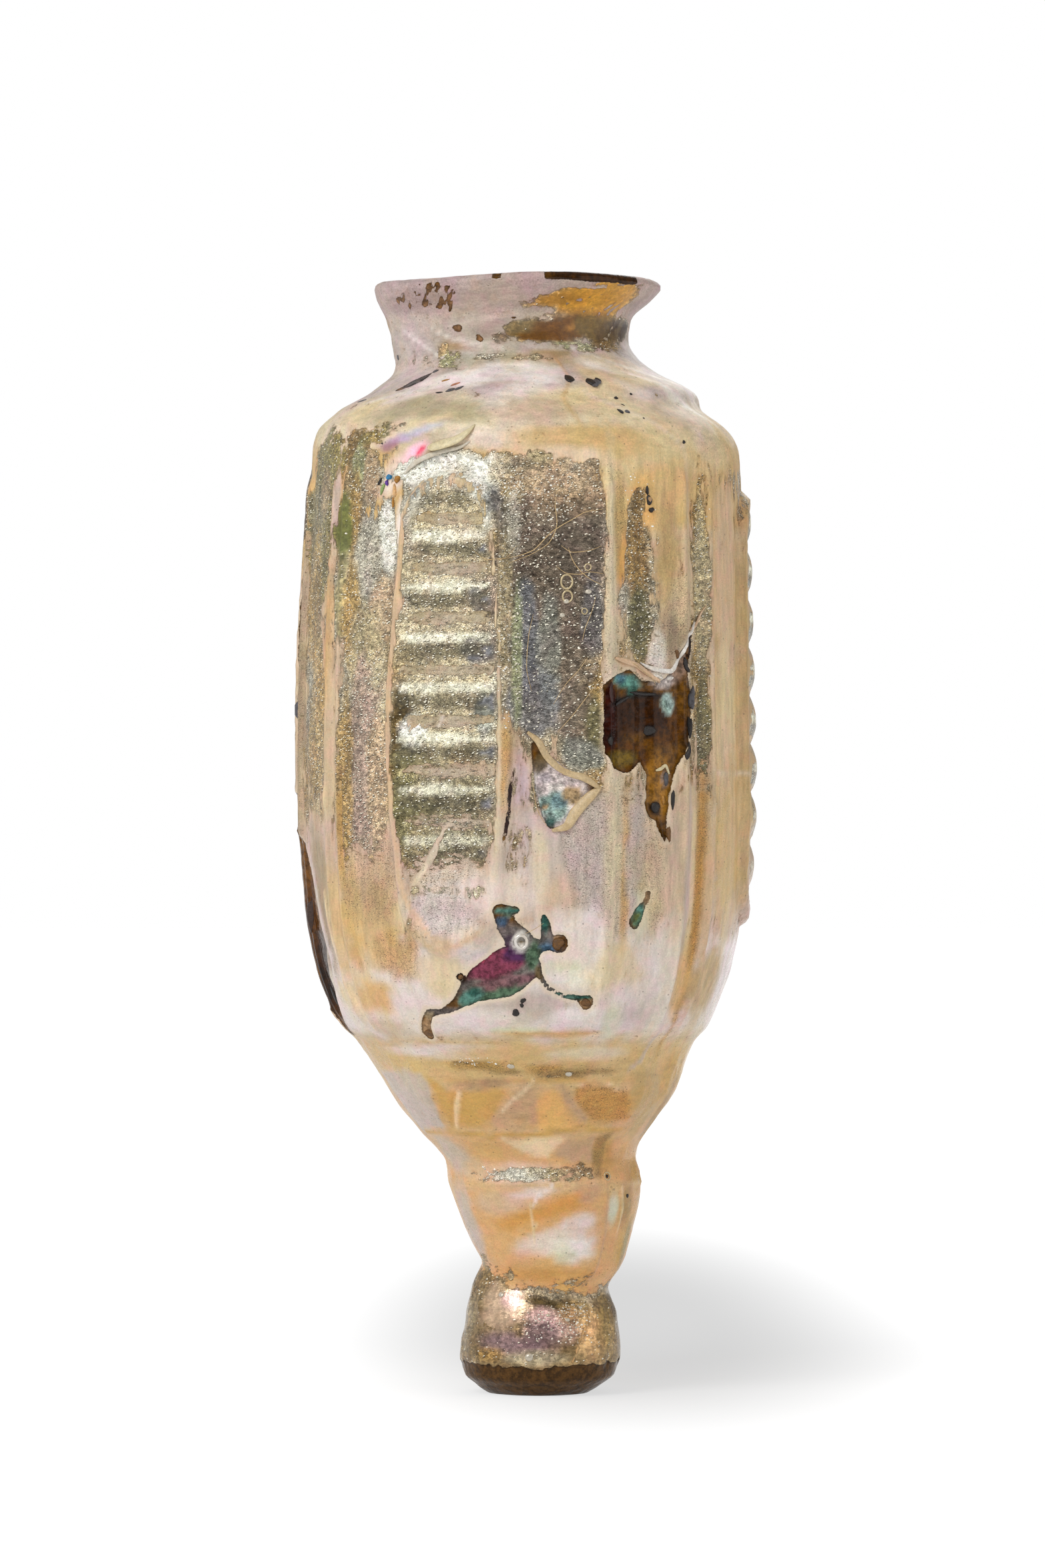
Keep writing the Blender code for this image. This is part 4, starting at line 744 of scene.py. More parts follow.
# Lumps of soil and crust: angle, height, half width, half height, rise, tilt, tone
SOIL = (
    (13, 126.4, 0.62, 0.5, 0.3, -20, "black"), (20.4, 126, 0.62, 0.52, 0.4, 0, "black"),
    (22.6, 126, 0.48, 0.44, 0.45, 0, "grit"), (21.6, 125.6, 0.4, 0.32, 0.5, 0, "grit"),
    (23.6, 126.3, 0.34, 0.3, 0.4, 0, "black"), (30.8, 124, 0.28, 0.2, 0.15, -20, "black"),
    (36.1, 124.6, 0.24, 0.13, 0.12, -30, "black"), (32.1, 123.1, 0.24, 0.09, 0.1, -20, "black"),
    (29.4, 122.2, 0.4, 0.26, 0.2, -20, "black"), (31.6, 122.2, 0.32, 0.24, 0.2, 0, "grit"),
    (35.4, 121.4, 0.15, 0.09, 0.1, 0, "black"), (46.2, 118.6, 0.25, 0.24, 0.15, 0, "black"),
    (33.4, 112.4, 0.22, 0.5, 0.25, 0, "black"), (33.9, 111.2, 0.36, 0.6, 0.22, 0, "black"),
    (33.9, 111.3, 0.2, 0.36, 0.42, 0, "tan"), (34.4, 110, 0.3, 0.34, 0.3, 0, "black"),
    (-0.4, 49.8, 0.36, 0.3, 0.22, 30, "black"), (-0.8, 49.2, 0.26, 0.24, 0.2, 0, "black"),
    (-2.6, 48.3, 0.48, 0.42, 0.25, 0, "black"), (-47.8, 126, 0.5, 0.22, 0.18, 30, "black"),
    (-44.6, 126.9, 0.6, 0.24, 0.18, 26, "black"), (-41.4, 127.8, 0.42, 0.2, 0.15, 24, "grit"),
    (-26.4, 125, 0.6, 0.24, 0.22, 4, "grit"), (-24.2, 125.2, 0.4, 0.28, 0.25, 30, "grit"),
    (-29.4, 124.7, 0.5, 0.12, 0.12, 0, "black"), (-27.6, 125.8, 0.5, 0.2, 0.15, 20, "rust"),
    (-33, 126.4, 0.6, 0.12, 0.1, 14, "amber"), (-66, 124.4, 1.2, 0.16, 0.1, 4, "grit"),
    (-75.5, 130.2, 0.4, 0.34, 0.15, 0, "grit"), (-40.8, 118.3, 0.14, 0.11, 0.1, 0, "black"),
    (-38, 114.1, 0.42, 0.38, 0.35, 0, "bright_blue"), (-38.6, 113.4, 0.26, 0.36, 0.3, 0, "violet"),
    (-40, 112.7, 0.26, 0.8, 0.2, -16, "leaf_green"), (-41.1, 113.6, 0.22, 0.5, 0.18, -24, "black"),
    (-35.3, 113.8, 0.42, 0.46, 0.35, 0, "amber"), (-36, 112.4, 0.26, 0.8, 0.28, 8, "foil_gold"),
    (-36.4, 110.9, 0.16, 0.7, 0.2, 6, "amber"), (33.9, 82.9, 0.72, 0.66, 0.2, 0, "black"),
    (21.9, 81.6, 0.34, 0.6, 0.2, 0, "black"), (35.6, 73.5, 0.72, 0.62, 0.25, 0, "black"),
    (32, 87.4, 2.2, 0.24, 0.3, -2, "black"), (25.6, 86.5, 1.1, 0.24, 0.25, 30, "black"),
    (22.2, 87.4, 0.4, 1.2, 0.15, 0, "red_brown"), (45.7, 93, 0.62, 0.62, 0.45, 0, "brown"),
    (45.2, 91, 0.38, 0.9, 0.35, 20, "black"), (48.2, 87, 0.5, 1.3, 0.4, 0, "grit"),
    (46.9, 83.4, 0.3, 1.5, 0.3, -12, "black"), (45, 80.4, 0.26, 1.1, 0.25, -20, "black"),
    (38.9, 77, 0.42, 0.8, 0.25, 0, "grit"), (40.3, 74.4, 0.26, 1.3, 0.25, 0, "black"),
    (39.2, 70.2, 0.24, 1, 0.25, 0, "brown"), (37.9, 74.4, 0.24, 0.6, 0.25, 0, "amber"),
    (40.4, 89.4, 0.6, 0.3, 0.35, 10, "ring_white"), (35.6, 89.5, 0.8, 0.26, 0.4, -10, "ring_white"),
    (42.6, 92.2, 0.3, 0.8, 0.3, 30, "brown"), (9.2, 56.8, 0.8, 0.74, 0.4, 0, "brown"),
    (18, 49.5, 0.62, 0.52, 0.25, 0, "brown"), (-31.9, 45.7, 0.62, 0.44, 0.22, 0, "brown"),
    (-17.7, 52.7, 0.34, 0.34, 0.22, 0, "brown"), (58.6, 25, 0.28, 0.26, 0.12, 0, "black"),
    (40.3, 27.6, 0.22, 0.22, 0.16, 0, "black"), (-88, 86, 0.9, 1.4, 0.2, 0, "grit"),
    (-76, 50, 0.5, 1.2, 0.25, 0, "black"), (-78.5, 60, 0.6, 2, 0.2, -14, "dark_brown"),
)

# Curled strips of veil: half width, thickness, how far it stands off and tilts, tone, and the path's
# points of (angle, height, share of the half width)
CURLS = (
    (0.72, 0.26, 0.5, 34, "curl_cream", ((-26.2, 117.6, 0.25), (-24.6, 117.6, 0.85), (-21.6, 117.9, 1),
     (-18.2, 118.4, 0.9), (-15.4, 119.3, 0.6), (-13.2, 120.3, 0.1))),
    (0.34, 0.16, 0.2, 10, "silver", ((-33, 114.4, 0.3), (-29.8, 115.7, 1), (-26, 116.5, 1),
     (-21.6, 117.1, 0.9), (-17.4, 117.5, 0.7), (-14.6, 118.2, 0.2))),
    (0.54, 0.24, 0.2, 30, "lip_tan", ((1, 82.6, 0.35), (3.4, 81.6, 0.8), (6.4, 79.4, 1),
     (10.6, 77.8, 0.9), (15.4, 77, 1), (19, 75.8, 0.5))),
    (0.66, 0.26, 0.16, -26, "lip_tan", ((19.2, 75.9, 0.4), (16.4, 74.6, 1), (13.2, 72.8, 1.1),
     (10.8, 71.1, 0.8), (7.2, 70.6, 0.3))),
    (0.36, 0.22, 0.25, 20, "peach", ((23.2, 91.7, 0.4), (26.6, 91.2, 1), (30.4, 90.6, 1),
     (34.6, 89.2, 0.7), (36.6, 88.8, 0.3))),
    (0.3, 0.18, 0.2, 10, "ring_white", ((31, 91.2, 0.3), (35, 90.4, 1), (39.4, 90.2, 1),
     (43, 91.8, 0.8), (46.4, 94.6, 0.9), (49.6, 96.4, 0.4))),
    (0.22, 0.14, 0.12, 0, "peach", ((46.6, 95.4, 0.5), (49.6, 95.9, 1), (52.2, 97.6, 0.6),
     (54, 98.6, 0.2))),
    (0.22, 0.14, 0.1, 0, "curl_cream", ((35.6, 78, 0.5), (37, 78.2, 1), (38.6, 78.6, 1),
     (40, 77.6, 0.6))),
)

# Root threads stuck to the foil: half width, and points of (angle, height, how far it stands off)
THREADS = (
    (0.055, ((-6.4, 103.6, 0.05), (-1, 104.2, 0.3), (2.1, 104.8, 0.4), (7, 107.1, 0.35),
     (12.5, 108.7, 0.3), (16, 109.6, 0.3), (20, 109.9, 0.1))),
    (0.05, ((-4, 103.2, 0.1), (2.8, 104.6, 0.3), (6.6, 106, 0.4), (8.2, 108.2, 0.4), (7.7, 110.6, 0.3),
     (8.9, 113.2, 0.1))),
    (0.045, ((9.4, 105.4, 0.2), (12.4, 104.6, 0.3), (16.4, 104.8, 0.25), (19.8, 105.4, 0.1))),
    (0.05, ((11.2, 105.2, 0.3), (12.2, 103.8, 0.3), (14.2, 102.4, 0.3), (17.4, 101.2, 0.2),
     (20, 100.6, 0.1))),
    (0.045, ((8.1, 102.9, 0.2), (11, 102, 0.3), (13.8, 101.9, 0.3), (17, 102.2, 0.2),
     (20.2, 102, 0.1))),
    (0.04, ((18.4, 99.2, 0.1), (17.2, 97.2, 0.25), (15.6, 95.2, 0.25), (15, 93.8, 0.1))),
    (0.04, ((16.4, 91.8, 0.1), (14, 90.2, 0.2), (10.6, 88.4, 0.2), (7.6, 86, 0.1))),
    (0.045, ((19.8, 89.4, 0.1), (17, 87.6, 0.25), (12.6, 84.8, 0.25), (8.6, 82.6, 0.1))),
    (0.04, ((2.4, 97, 0.1), (1.2, 94, 0.2), (0.8, 90.6, 0.2), (2, 87.6, 0.1))),
    (0.04, ((-13, 104.9, 0.1), (-9, 103.6, 0.3), (-5, 103.8, 0.2), (-2, 105.4, 0.1))),
    (0.035, ((0.2, 58, 0.1), (2.4, 58.5, 0.2), (5.2, 59.3, 0.1))),
    (0.05, ((24, 92, 0.2), (28, 91, 0.5), (32, 89.8, 0.5), (35.4, 88.4, 0.2))),
    (0.045, ((6, 71, 0.1), (3.4, 73.2, 0.2), (2.2, 76.4, 0.2))),
)

# Blisters and rings on the foil: angle, height, half width, half height, and a blister's rise or a
# ring's thickness
BLISTERS = (
    (-8.6, 5.1, 0.54, 0.5, 0.3), (4.9, 10.6, 0.3, 0.28, 0.2), (20, 9.8, 0.34, 0.3, 0.2),
    (-36, 13, 0.4, 0.34, 0.2), (33, 12.2, 0.3, 0.3, 0.2), (10.9, 98.6, 0.36, 0.3, 0.25),
    (16.6, 99.8, 0.4, 0.3, 0.25), (9.9, 96.9, 0.34, 0.3, 0.25), (-6.6, 41.6, 0.5, 0.3, 0.25),
    (14.6, 40.6, 0.46, 0.3, 0.25),
)
RINGS = (
    (11, 101, 0.72, 0.86, 0.24), (11.2, 99.2, 0.6, 0.7, 0.22), (16.4, 102.8, 0.38, 0.4, 0.16),
    (40.3, 27.6, 0.46, 0.48, 0.16), (15.6, 97.4, 0.34, 0.36, 0.14), (-0.8, 57, 0.72, 0.8, 0.42),
)

# Where beads of foil are strewn: angle, height, half width, half height, count; and the beads' least
# and most radius, and their tones
STREWN = (
    (-15, 113, 8, 4, 60), (-3, 98, 1.5, 15, 260), (3, 110, 4.2, 4, 170), (8, 92, 6, 10, 60),
    (-19.6, 88, 5.6, 24, 160), (-44, 98, 4.4, 16, 120), (31, 103, 2.2, 12, 80),
    (52.4, 100, 1.3, 12, 40), (-20, 28, 5, 0.9, 60), (14, 9.4, 4.6, 2.6, 160), (28, 10.4, 2, 2.4, 60),
    (-17, 42.2, 3.6, 0.5, 24),
)
STREWN_SEED = 41
BEAD_R = (0.045, 0.13)
BEAD_TONES = ("bead_white", "silver", "white_silver")

# Steps along each curl and thread and round each ring
CURL_STEPS = 40
THREAD_STEPS = 36
RING_STEPS = 28


# ---- Formulas shared with the solid ----------------------------------------

def smooth_curve(stations, at):
    """Monotone cubic through the stations: it never overshoots between two of them."""
    x, y = np.array(stations).T
    step = np.diff(x)
    slope = np.diff(y) / step
    tangent = np.zeros_like(y)
    tangent[0], tangent[-1] = slope[0], slope[-1]
    weight_a = 2.0 * step[1:] + step[:-1]
    weight_b = step[1:] + 2.0 * step[:-1]
    same_way = slope[:-1] * slope[1:] > 0.0
    safe_a = np.where(same_way, slope[:-1], 1.0)
    safe_b = np.where(same_way, slope[1:], 1.0)
    mean = (weight_a + weight_b) / (weight_a / safe_a + weight_b / safe_b)
    tangent[1:-1] = np.where(same_way, mean, 0.0)
    at = np.clip(at, x[0], x[-1])
    cell = np.clip(np.searchsorted(x, at) - 1, 0, len(step) - 1)
    h = step[cell]
    t = (at - x[cell]) / h
    return (y[cell] * (1 + 2 * t) * (1 - t) ** 2 + tangent[cell] * h * t * (1 - t) ** 2
            + y[cell + 1] * t * t * (3 - 2 * t) - tangent[cell + 1] * h * t * t * (1 - t))


def ease(x, start, end):
    """0 before start, 1 after end, smooth between."""
    t = np.clip((x - start) / (end - start), 0.0, 1.0)
    return t * t * (3.0 - 2.0 * t)


def window(x, start, full, fading, end):
    """1 between full and fading, 0 before start and after end, smooth between."""
    return ease(x, start, full) * (1.0 - ease(x, fading, end))


def off_line(x, start, end):
    """1 on the line x = 0, 0 further than end from it, smooth between start and end."""
    return 1.0 - ease(np.abs(x), start, end)


def bulge(x):
    """A half circle: 1 at x = 0, falling to 0 at x = +-1."""
    return np.sqrt(np.clip(1.0 - x ** 2, 0.0, 1.0))


def hump(x, half):
    """A rounded hump: 1 at x = 0, falling to 0 at x = +-half."""
    return 0.5 * (1.0 + np.cos(np.pi * np.clip(x / half, -1.0, 1.0)))


def turn(angle, centre):
    """Signed angle from the centre, within a half turn."""
    return (angle - centre + 180.0) % 360.0 - 180.0


def upright_mask(z):
    """Where the upright ridges, flutes and flat panels run, faded at both ends."""
    return window(z, UPRIGHT_BOTTOM, UPRIGHT_BOTTOM + UPRIGHT_FADE,
                  UPRIGHT_TOP - UPRIGHT_FADE, UPRIGHT_TOP)


def panel_outside(angle, z, centre, foot, head):
    """Distance outwards from a ribbed panel's outline, an upright capsule bowed wider at mid-height."""
    across = np.radians(turn(angle, centre)) * BODY_R
    along = z - np.clip(z, foot + PANEL_HALF_W, head - PANEL_HALF_W)
    bow = PANEL_BOW * hump(z - PANEL_BOW_Z, PANEL_BOW_HALF_H)
    return np.hypot(across, along) - PANEL_HALF_W - bow


def ribbed_panel(angle, z, centre, foot, head, crest):
    """A raised capsule frame with convex cross ribs, parabolas in section, sunk a little inside it."""
    outside = panel_outside(angle, z, centre, foot, head)
    rim = FRAME_RAISE * (1.0 - ease(outside, FRAME_W, FRAME_W + FRAME_SLOPE))
    inside = ease(-outside, 0.0, BEAD_W)
    phase = (z - crest) / RIB_PITCH
    roll = 1.0 - (2.0 * (phase - np.round(phase))) ** 2
    return rim + inside * (RIB_DEPTH * roll - BEAD_DROP)


def ridge_angles():
    """Where the upright ridges stand."""
    return list(LEFT_RIDGES) + [panel[0] + offset for panel in PANELS for offset in RIDGES]


def mould_relief(angle, z):
    """Everything that the mould raised or sank on the body."""
    upright = np.zeros(np.broadcast(angle, z).shape)
    panels = upright
    hollows = [(FLAT_SPAN, FLAT_DEPTH)] + [(flute, FLUTE_DEPTH) for flute in FLUTES]
    for centre, foot, head, crest in PANELS:
        panels = panels + ribbed_panel(angle, z, centre, foot, head, crest)
        for (start, end), depth in hollows:
            across = turn(angle, centre + 0.5 * (start + end)) / (0.5 * (end - start))
            upright = upright - depth * np.clip(1.0 - across ** 2, 0.0, 1.0)
    for angle_at in ridge_angles():
        arc = np.radians(turn(angle, angle_at)) * BODY_R
        upright = upright + RIDGE_H * hump(arc, RIDGE_HALF_W)
    return panels + upright * upright_mask(z)


def facet_factor(angle, z):
    """The funnel's cross-section goes part of the way from a circle to a polygon."""
    corners = np.array(FACET_CORNERS + (FACET_CORNERS[0] + 360.0,))
    angle = (angle - corners[0]) % 360.0 + corners[0]
    side = np.clip(np.searchsorted(corners, angle, side="right") - 1, 0, len(corners) - 2)
    half = 0.5 * (corners[side + 1] - corners[side])
    middle = corners[side] + half
    polygon = np.cos(np.radians(half)) / np.cos(np.radians(angle - middle))
    at_side = np.cos(np.radians(FACET_SIDE_HALF))
    return 1.0 + FACET_BLEND * hump(z - FACET_MID_Z, FACET_HALF_H) * (polygon / at_side - 1.0)


def lean(angle, z, radius):
    """The groove of the pinch leans: its ring drops on one side and rises on the other."""
    amount = PINCH_LEAN * hump(z - PINCH_Z, PINCH_LEAN_HALF_H)
    return -amount * radius * np.cos(np.radians(angle - PINCH_LEAN_AT))


def place(angle, radius, z, level):
    """Points round the axis, its centre drifted as it is at the given level."""
    turned = np.radians(angle)
    x = smooth_curve(DRIFT, level) + radius * np.sin(turned)
    y = -radius * np.cos(turned)
    return np.stack(np.broadcast_arrays(x, y, z), axis=-1)


# ---- Weathering ------------------------------------------------------------

def noise(points, field, squash=(1.0, 1.0, 1.0)):
    """Smooth value noise, from -1 to 1: random values on a cubic lattice of the field's cell size,
    blended between a cell's eight corners.  Each further octave has half the cell and half the weight.
    Squash multiplies the points first."""
    size, seed, octaves = FIELDS[field]
    lattice = np.random.default_rng(seed).uniform(-1.0, 1.0, (NOISE_CELLS,) * 3)
    total, weight, weights = 0.0, 1.0, 0.0
    for octave in range(octaves):
        at = points * np.array(squash) * (2.0 ** octave / size) + OCTAVE_SHIFT * octave
        cell = np.floor(at).astype(int)
        t = at - cell
        t = t * t * (3.0 - 2.0 * t)
        value = 0.0
        for corner in np.ndindex(2, 2, 2):
            share = np.prod(np.where(corner, t, 1.0 - t), axis=-1)
            x, y, z = np.moveaxis((cell + corner) % NOISE_CELLS, -1, 0)
            value = value + share * lattice[x, y, z]
        total = total + weight * value
        weights += weight
        weight *= 0.5
    return total / weights


def local(angle, z, centre, height):
    """Millimetres across and up the surface from a point of it."""
    return np.radians(turn(angle, centre)) * smooth_curve(PROFILE, height), z - height


def off_segment(u, v, start, end):
    """Distance of places from a straight piece of surface, and how far along it the nearest point is."""
    (ua, va), (du, dv) = start, np.subtract(end, start)
    t = np.clip(((u - ua) * du + (v - va) * dv) / max(du * du + dv * dv, 1e-9), 0.0, 1.0)
    return np.hypot(u - ua - t * du, v - va - t * dv), t


def inside_strokes(angle, z, points):
    """How far inside a chain of tapered, round-ended strokes a place lies: the half width of the
    nearest stroke there, less the distance to its middle line.  It is negative outside."""
    first = points[0][:2]
    u, v = local(angle, z, *first)
    ends = [(local(*point[:2], *first), point[2]) for point in points]
    best = np.full(np.broadcast(angle, z).shape, -FAR)
    for (start, half_w), (end, next_half_w) in zip(ends, ends[1:]):
        away, t = off_segment(u, v, start, end)
        best = np.maximum(best, half_w + t * (next_half_w - half_w) - away)
    return best


def inside_outline(angle, z, points):
    """How far inside a closed outline of straight edges a place lies: the distance to the nearest
    edge, positive where a ray towards +u crosses the edges an odd number of times."""
    first = points[0]
    u, v = local(angle, z, *first)
    corners = [local(*point, *first) for point in points]
    nearest = np.full(np.broadcast(angle, z).shape, FAR)
    odd = np.zeros(nearest.shape, bool)
    for start, end in zip(corners, corners[1:] + corners[:1]):
        nearest = np.minimum(nearest, off_segment(u, v, start, end)[0])
        (ua, va), (ub, vb) = start, end
        crosses = (va > v) != (vb > v)
        odd ^= crosses & (u < ua + (v - va) * (ub - ua) / (vb - va if vb != va else 1.0))
    return np.where(odd, nearest, -nearest)


def hidden_strokes():
    """Soft strokes at random over the back, in the tones of the front at the same height; they lie
    flatter above and below the body."""
    chance = np.random.default_rng(HIDDEN_SEED)
    strokes = []
    for low, high, count, tones in HIDDEN:
        for _ in range(count):
            angle, z, half_w, half_h, tilt = (chance.uniform(*span) for span in (
                HIDDEN_SPAN, (low, high), HIDDEN_W, HIDDEN_H, HIDDEN_TILT))
            half_h *= HIDDEN_FLAT if z < BODY_FROM or z > BODY_TO else 1.0
            tone, name = tones[chance.integers(len(tones))]
            strokes.append((angle, z, half_w, half_h, tilt, tone, name, chance.uniform(*HIDDEN_STRENGTH)))
    return strokes


def paint(layer, share, value):
    """Paint a value over a layer, as far as the share says."""
    layer += share * (np.array(value) - layer)


class Weather:
    """The weathering at a set of places, worked out from their angle, height and undressed points."""

    def __init__(self, angle, z, plain, relief):
        self.angle, self.z, self.plain, self.relief = angle, z, plain, relief
        self.fray, self.blur, self.wide = (noise(plain, field) for field in ("fray", "blur", "wide"))
        self.flecks = noise(plain, "flecks", (0.8, 0.8, 1.2))
        self.hidden = ease(-np.cos(np.radians(angle)), *TURNED_AWAY) * ease(z, *OFF_THE_FOOT)
        self.opening = np.full(plain.shape[:-1], CLOSED)
        self.pale_edge = np.zeros(plain.shape[:-1])
        self.height = self.crust_height()
        self.cut_losses()
        self.wear_foot()
        self.raise_lines()

    def crust_height(self):
        """The hand-blown unevenness, the crust's own waves and grain, upright drawing lines on the
        right-hand side, swirls round the neck and crinkles on the funnel and the knob."""
        relief, plain, z, angle = self.relief, self.plain, self.z, self.angle
        uneven = relief.unevenness * noise(plain, "wall")
        crust = relief.crust * (noise(plain, "waves") + 0.6 * noise(plain, "grain"))
        lines = noise(plain, "streaks", (1.0, 1.0, 0.05)) * window(angle % 360.0, *STREAKED)
        folds = (1.0 - ease(z, *FOLDED)) * (1.0 - 2.0 * np.abs(noise(plain, "folds")))
        swirl = window(z, *SWIRLED) * noise(plain, "swirls", (0.5, 0.5, 1.4))
        knob_z, half_h, middle = CRINKLED
        foil = hump(z - knob_z, half_h) * ease(np.cos(np.radians(angle - middle)), 0.2, 0.9)
        crinkle = relief.crinkle * foil * noise(plain, "crinkles")
        self.drawn = relief.streaks * lines * upright_mask(z)
        return (uneven + crust + self.drawn + relief.folds * folds
                + 1.4 * relief.crust * swirl + crinkle)

    def cut_losses(self):
        """Sink each loss inside its edge, with a low lip just outside it."""
        for _, depth, lip, pale, fray, kind, points in LOSSES:
            measure = inside_outline if kind == "outline" else inside_strokes
            inside = measure(self.angle, self.z, points) + fray * self.fray
            if kind == "specks":
                inside = np.minimum(inside, 0.0) + SPECK_GAIN * self.flecks - SPECK_CUT
            self.height = self.height - depth * ease(inside, *LOSS_EDGE)
            self.height = self.height + lip * hump(inside + LOSS_LIP_HALF, LOSS_LIP_HALF)
            self.opening = np.maximum(self.opening, inside)
            self.pale_edge = np.maximum(self.pale_edge, pale * ease(inside, *LOSS_PALE))
        self.height = self.height - self.drawn * ease(self.opening, -0.1, 0.4)

    def wear_foot(self):
        """The foot has lost its crust below a ragged line."""
        inside = WEAR_Z - self.z + WEAR_FRAY * (self.fray + 0.7 * self.blur)
        self.height = self.height - WEAR_DEPTH * ease(inside, -0.1, 0.25) * ease(self.z, 0.2, 1.5)
        self.opening = np.maximum(self.opening, inside)

    def raise_lines(self):
        """Raise the thin lines of the crust."""
        self.lines = []
        for height, tone, strength, points in LINES:
            inside = inside_strokes(self.angle, self.z, points) + LINE_FRAY * self.fray
            line = ease(inside, *LINE_EDGE)
            self.height = self.height + height * line
            self.lines.append((tone, strength * line))

    def brushed(self, patch):
        """How much of a soft elliptical brush stroke covers each place, its outline waved by noise."""
        centre, height, half_w, half_h, tilt = patch[:5]
        u, v = local(self.angle, self.z, centre, height)
        cos, sin = np.cos(np.radians(tilt)), np.sin(np.radians(tilt))
        reach = np.hypot((u * cos + v * sin) / half_w, (v * cos - u * sin) / half_h)
        small = min(half_w, half_h)
        wave = 0.34 * self.blur * ease(small, 0.5, 2.0) + 0.20 * self.fray
        edge = BRUSH_SOFT if patch[6] in VEILS or patch[1] < PINCH_TOP else BRUSH_CRISP
        return 1.0 - ease(reach + wave, *edge)

    def crust_paint(self):
        """The veil's colour and how far it covers the foil, the foil's colour and sheen, and the
        finish: beads, pitting, the veil's gloss and the pale edge of the losses."""
        veil, foil, finish = (np.zeros(self.plain.shape[:-1] + (4,)) for _ in range(3))
        veil[...] = (*linear("cream"), 0.5)
        for band in BANDS:
            share = self.banded(band)[..., None]
            paint(veil, share, (*linear(band[2]), band[4]))
            paint(finish[..., 2:3], share, VEILS[band[3]][0])
        mix = ease(noise(self.plain, "drift", (1.0, 1.0, 0.45)), -0.5, 0.5)[..., None]
        foil[..., :3] = linear("gold") + mix * (linear("silver") - linear("gold"))
        foil[..., 3], finish[..., 0], finish[..., 1] = 0.7, 0.8, 0.3
        mask = upright_mask(self.z)
        for angle_at in ridge_angles():
            arc = np.radians(turn(self.angle, angle_at)) * BODY_R
            veil[..., 3] += 0.35 * mask * hump(arc, 1.6)
        strokes = [(patch[5:], self.brushed(patch)) for patch in (*hidden_strokes(), *PATCHES)]
        for tone, name, strength, points in PLATES:
            inside = inside_outline(self.angle, self.z, points) + 0.40 * self.fray + 0.25 * self.blur
            strokes.append(((tone, name, strength), ease(inside, *FLAKE_EDGE)))
        strokes += zip(RIB_STROKES, self.rib_paint())
        strokes += [((tone, "line", 1.0), cover) for tone, cover in self.lines]
        for (tone, name, strength), cover in strokes:
            share = (strength * cover)[..., None]
            if name in FOILS:
                sheen, beads, pits = FOILS[name]
                paint(foil, share, (*linear(tone), sheen))
                paint(finish[..., :2], share, (beads, pits))
                paint(veil[..., 3:], share, 0.0)
            else:
                gloss, pits = VEILS[name]
                paint(veil, share, (*linear(tone), 1.0))
                paint(finish[..., 1:3], share, (pits, gloss))
        finish[..., 3] = self.pale_edge
        return veil, foil, finish

    def rib_paint(self):
        """How much each of RIB_STROKES covers: a painted shade in the gaps between a panel's ribs, the
        flecked slope above each crest, a strip of painted shade under it, which widens to the right, and a
        painted highlight on the crest."""
        gap = slope = under = crest = np.zeros(self.z.shape)
        bold = 0.40 + 0.60 * ease(self.z, *RIBS_BOLD)
        kept = ease(self.z, *RIBS_KEPT)
        for centre, foot, head, top in PANELS:
            inside = ease(-panel_outside(self.angle, self.z, centre, foot, head), 0.2, 1.0)
            across = np.radians(turn(self.angle, centre)) * BODY_R / (PANEL_HALF_W + PANEL_BOW)
            phase = (self.z - top) / RIB_PITCH + 0.03 * self.fray
            phase = (phase - np.round(phase)) * RIB_PITCH
            narrow = 0.62 * bulge(across) + 0.34 * self.blur + 0.30 * self.fray
            dark = -0.5 + 1.5 * ease(across, 0.40, 1.0) + 0.5 * self.blur
            lens = 1.25 * bulge(across - 0.15) + 0.3 * self.blur
            waved = phase + 1.5 + 0.3 * self.blur
            # The gap and the strip under the crest are painted shade, the crest a painted highlight
            gap = gap + inside * kept * off_line(waved, 0.55, 1.15)
            slope = slope + inside * kept * off_line(phase - 2.6, lens - 0.35, lens + 0.25)
            under = under + inside * off_line(phase + 1.6, dark, dark + 0.4)
            crest = crest + inside * bold * off_line(phase - 0.1, narrow - 0.20, narrow + 0.20)
        return gap, slope, under * ease(self.z, *RIBS_DARK), crest

    def banded(self, band):
        """How much of a ring of colour covers each place."""
        low, high = band[:2]
        pinch = PINCH_TOP in (low, high)
        z = self.z + (0.5 if pinch else 1.4) * self.blur + 6.0 * self.hidden * self.wide
        soft = 0.5 if pinch else 1.5 + 3.0 * self.hidden
        return window(z, low - soft, low + soft, high - soft, high + soft)

    def bared_paint(self):
        """The colour of the glass under the crust, and how much of an iridescent film is on it."""
        tint = np.zeros(self.plain.shape[:-1] + (4,))
        tint[...] = (*linear("brown"), 0.0)
        for patch in BARED:
            paint(tint, (patch[7] * self.brushed(patch))[..., None], (*linear(patch[5]), patch[6]))
        worn = 1.0 - ease(self.z, WEAR_Z + 0.8, WEAR_Z + 1.6)
        paint(tint, worn[..., None], (*linear("wear_brown"), 0.0))
        return tint


def linear(tone):
    """A tone's scene-linear red, green and blue, from its eight-bit display values."""
    value = np.array(TONES[tone]) / 255.0
    return np.where(value <= 0.04045, value / 12.92, ((value + 0.055) / 1.055) ** 2.4)


# ---- The flask's mesh ------------------------------------------------------

def undressed(angle, z):
    """Points of the moulded outside, before weathering, and their radius."""
    radius = smooth_curve(PROFILE, z) * facet_factor(angle, z) + mould_relief(angle, z)
    return place(angle, radius, z + lean(angle, z, radius), z), radius


def dressed(angle, z, relief):
    """Points of the outside with its weathering: each moves in or out, square to the axis."""
    plain, radius = undressed(angle, z)
    weather = Weather(*np.broadcast_arrays(angle, z), plain, relief)
    radius = radius + weather.height
    return place(angle, radius, z + lean(angle, z, radius), z), weather


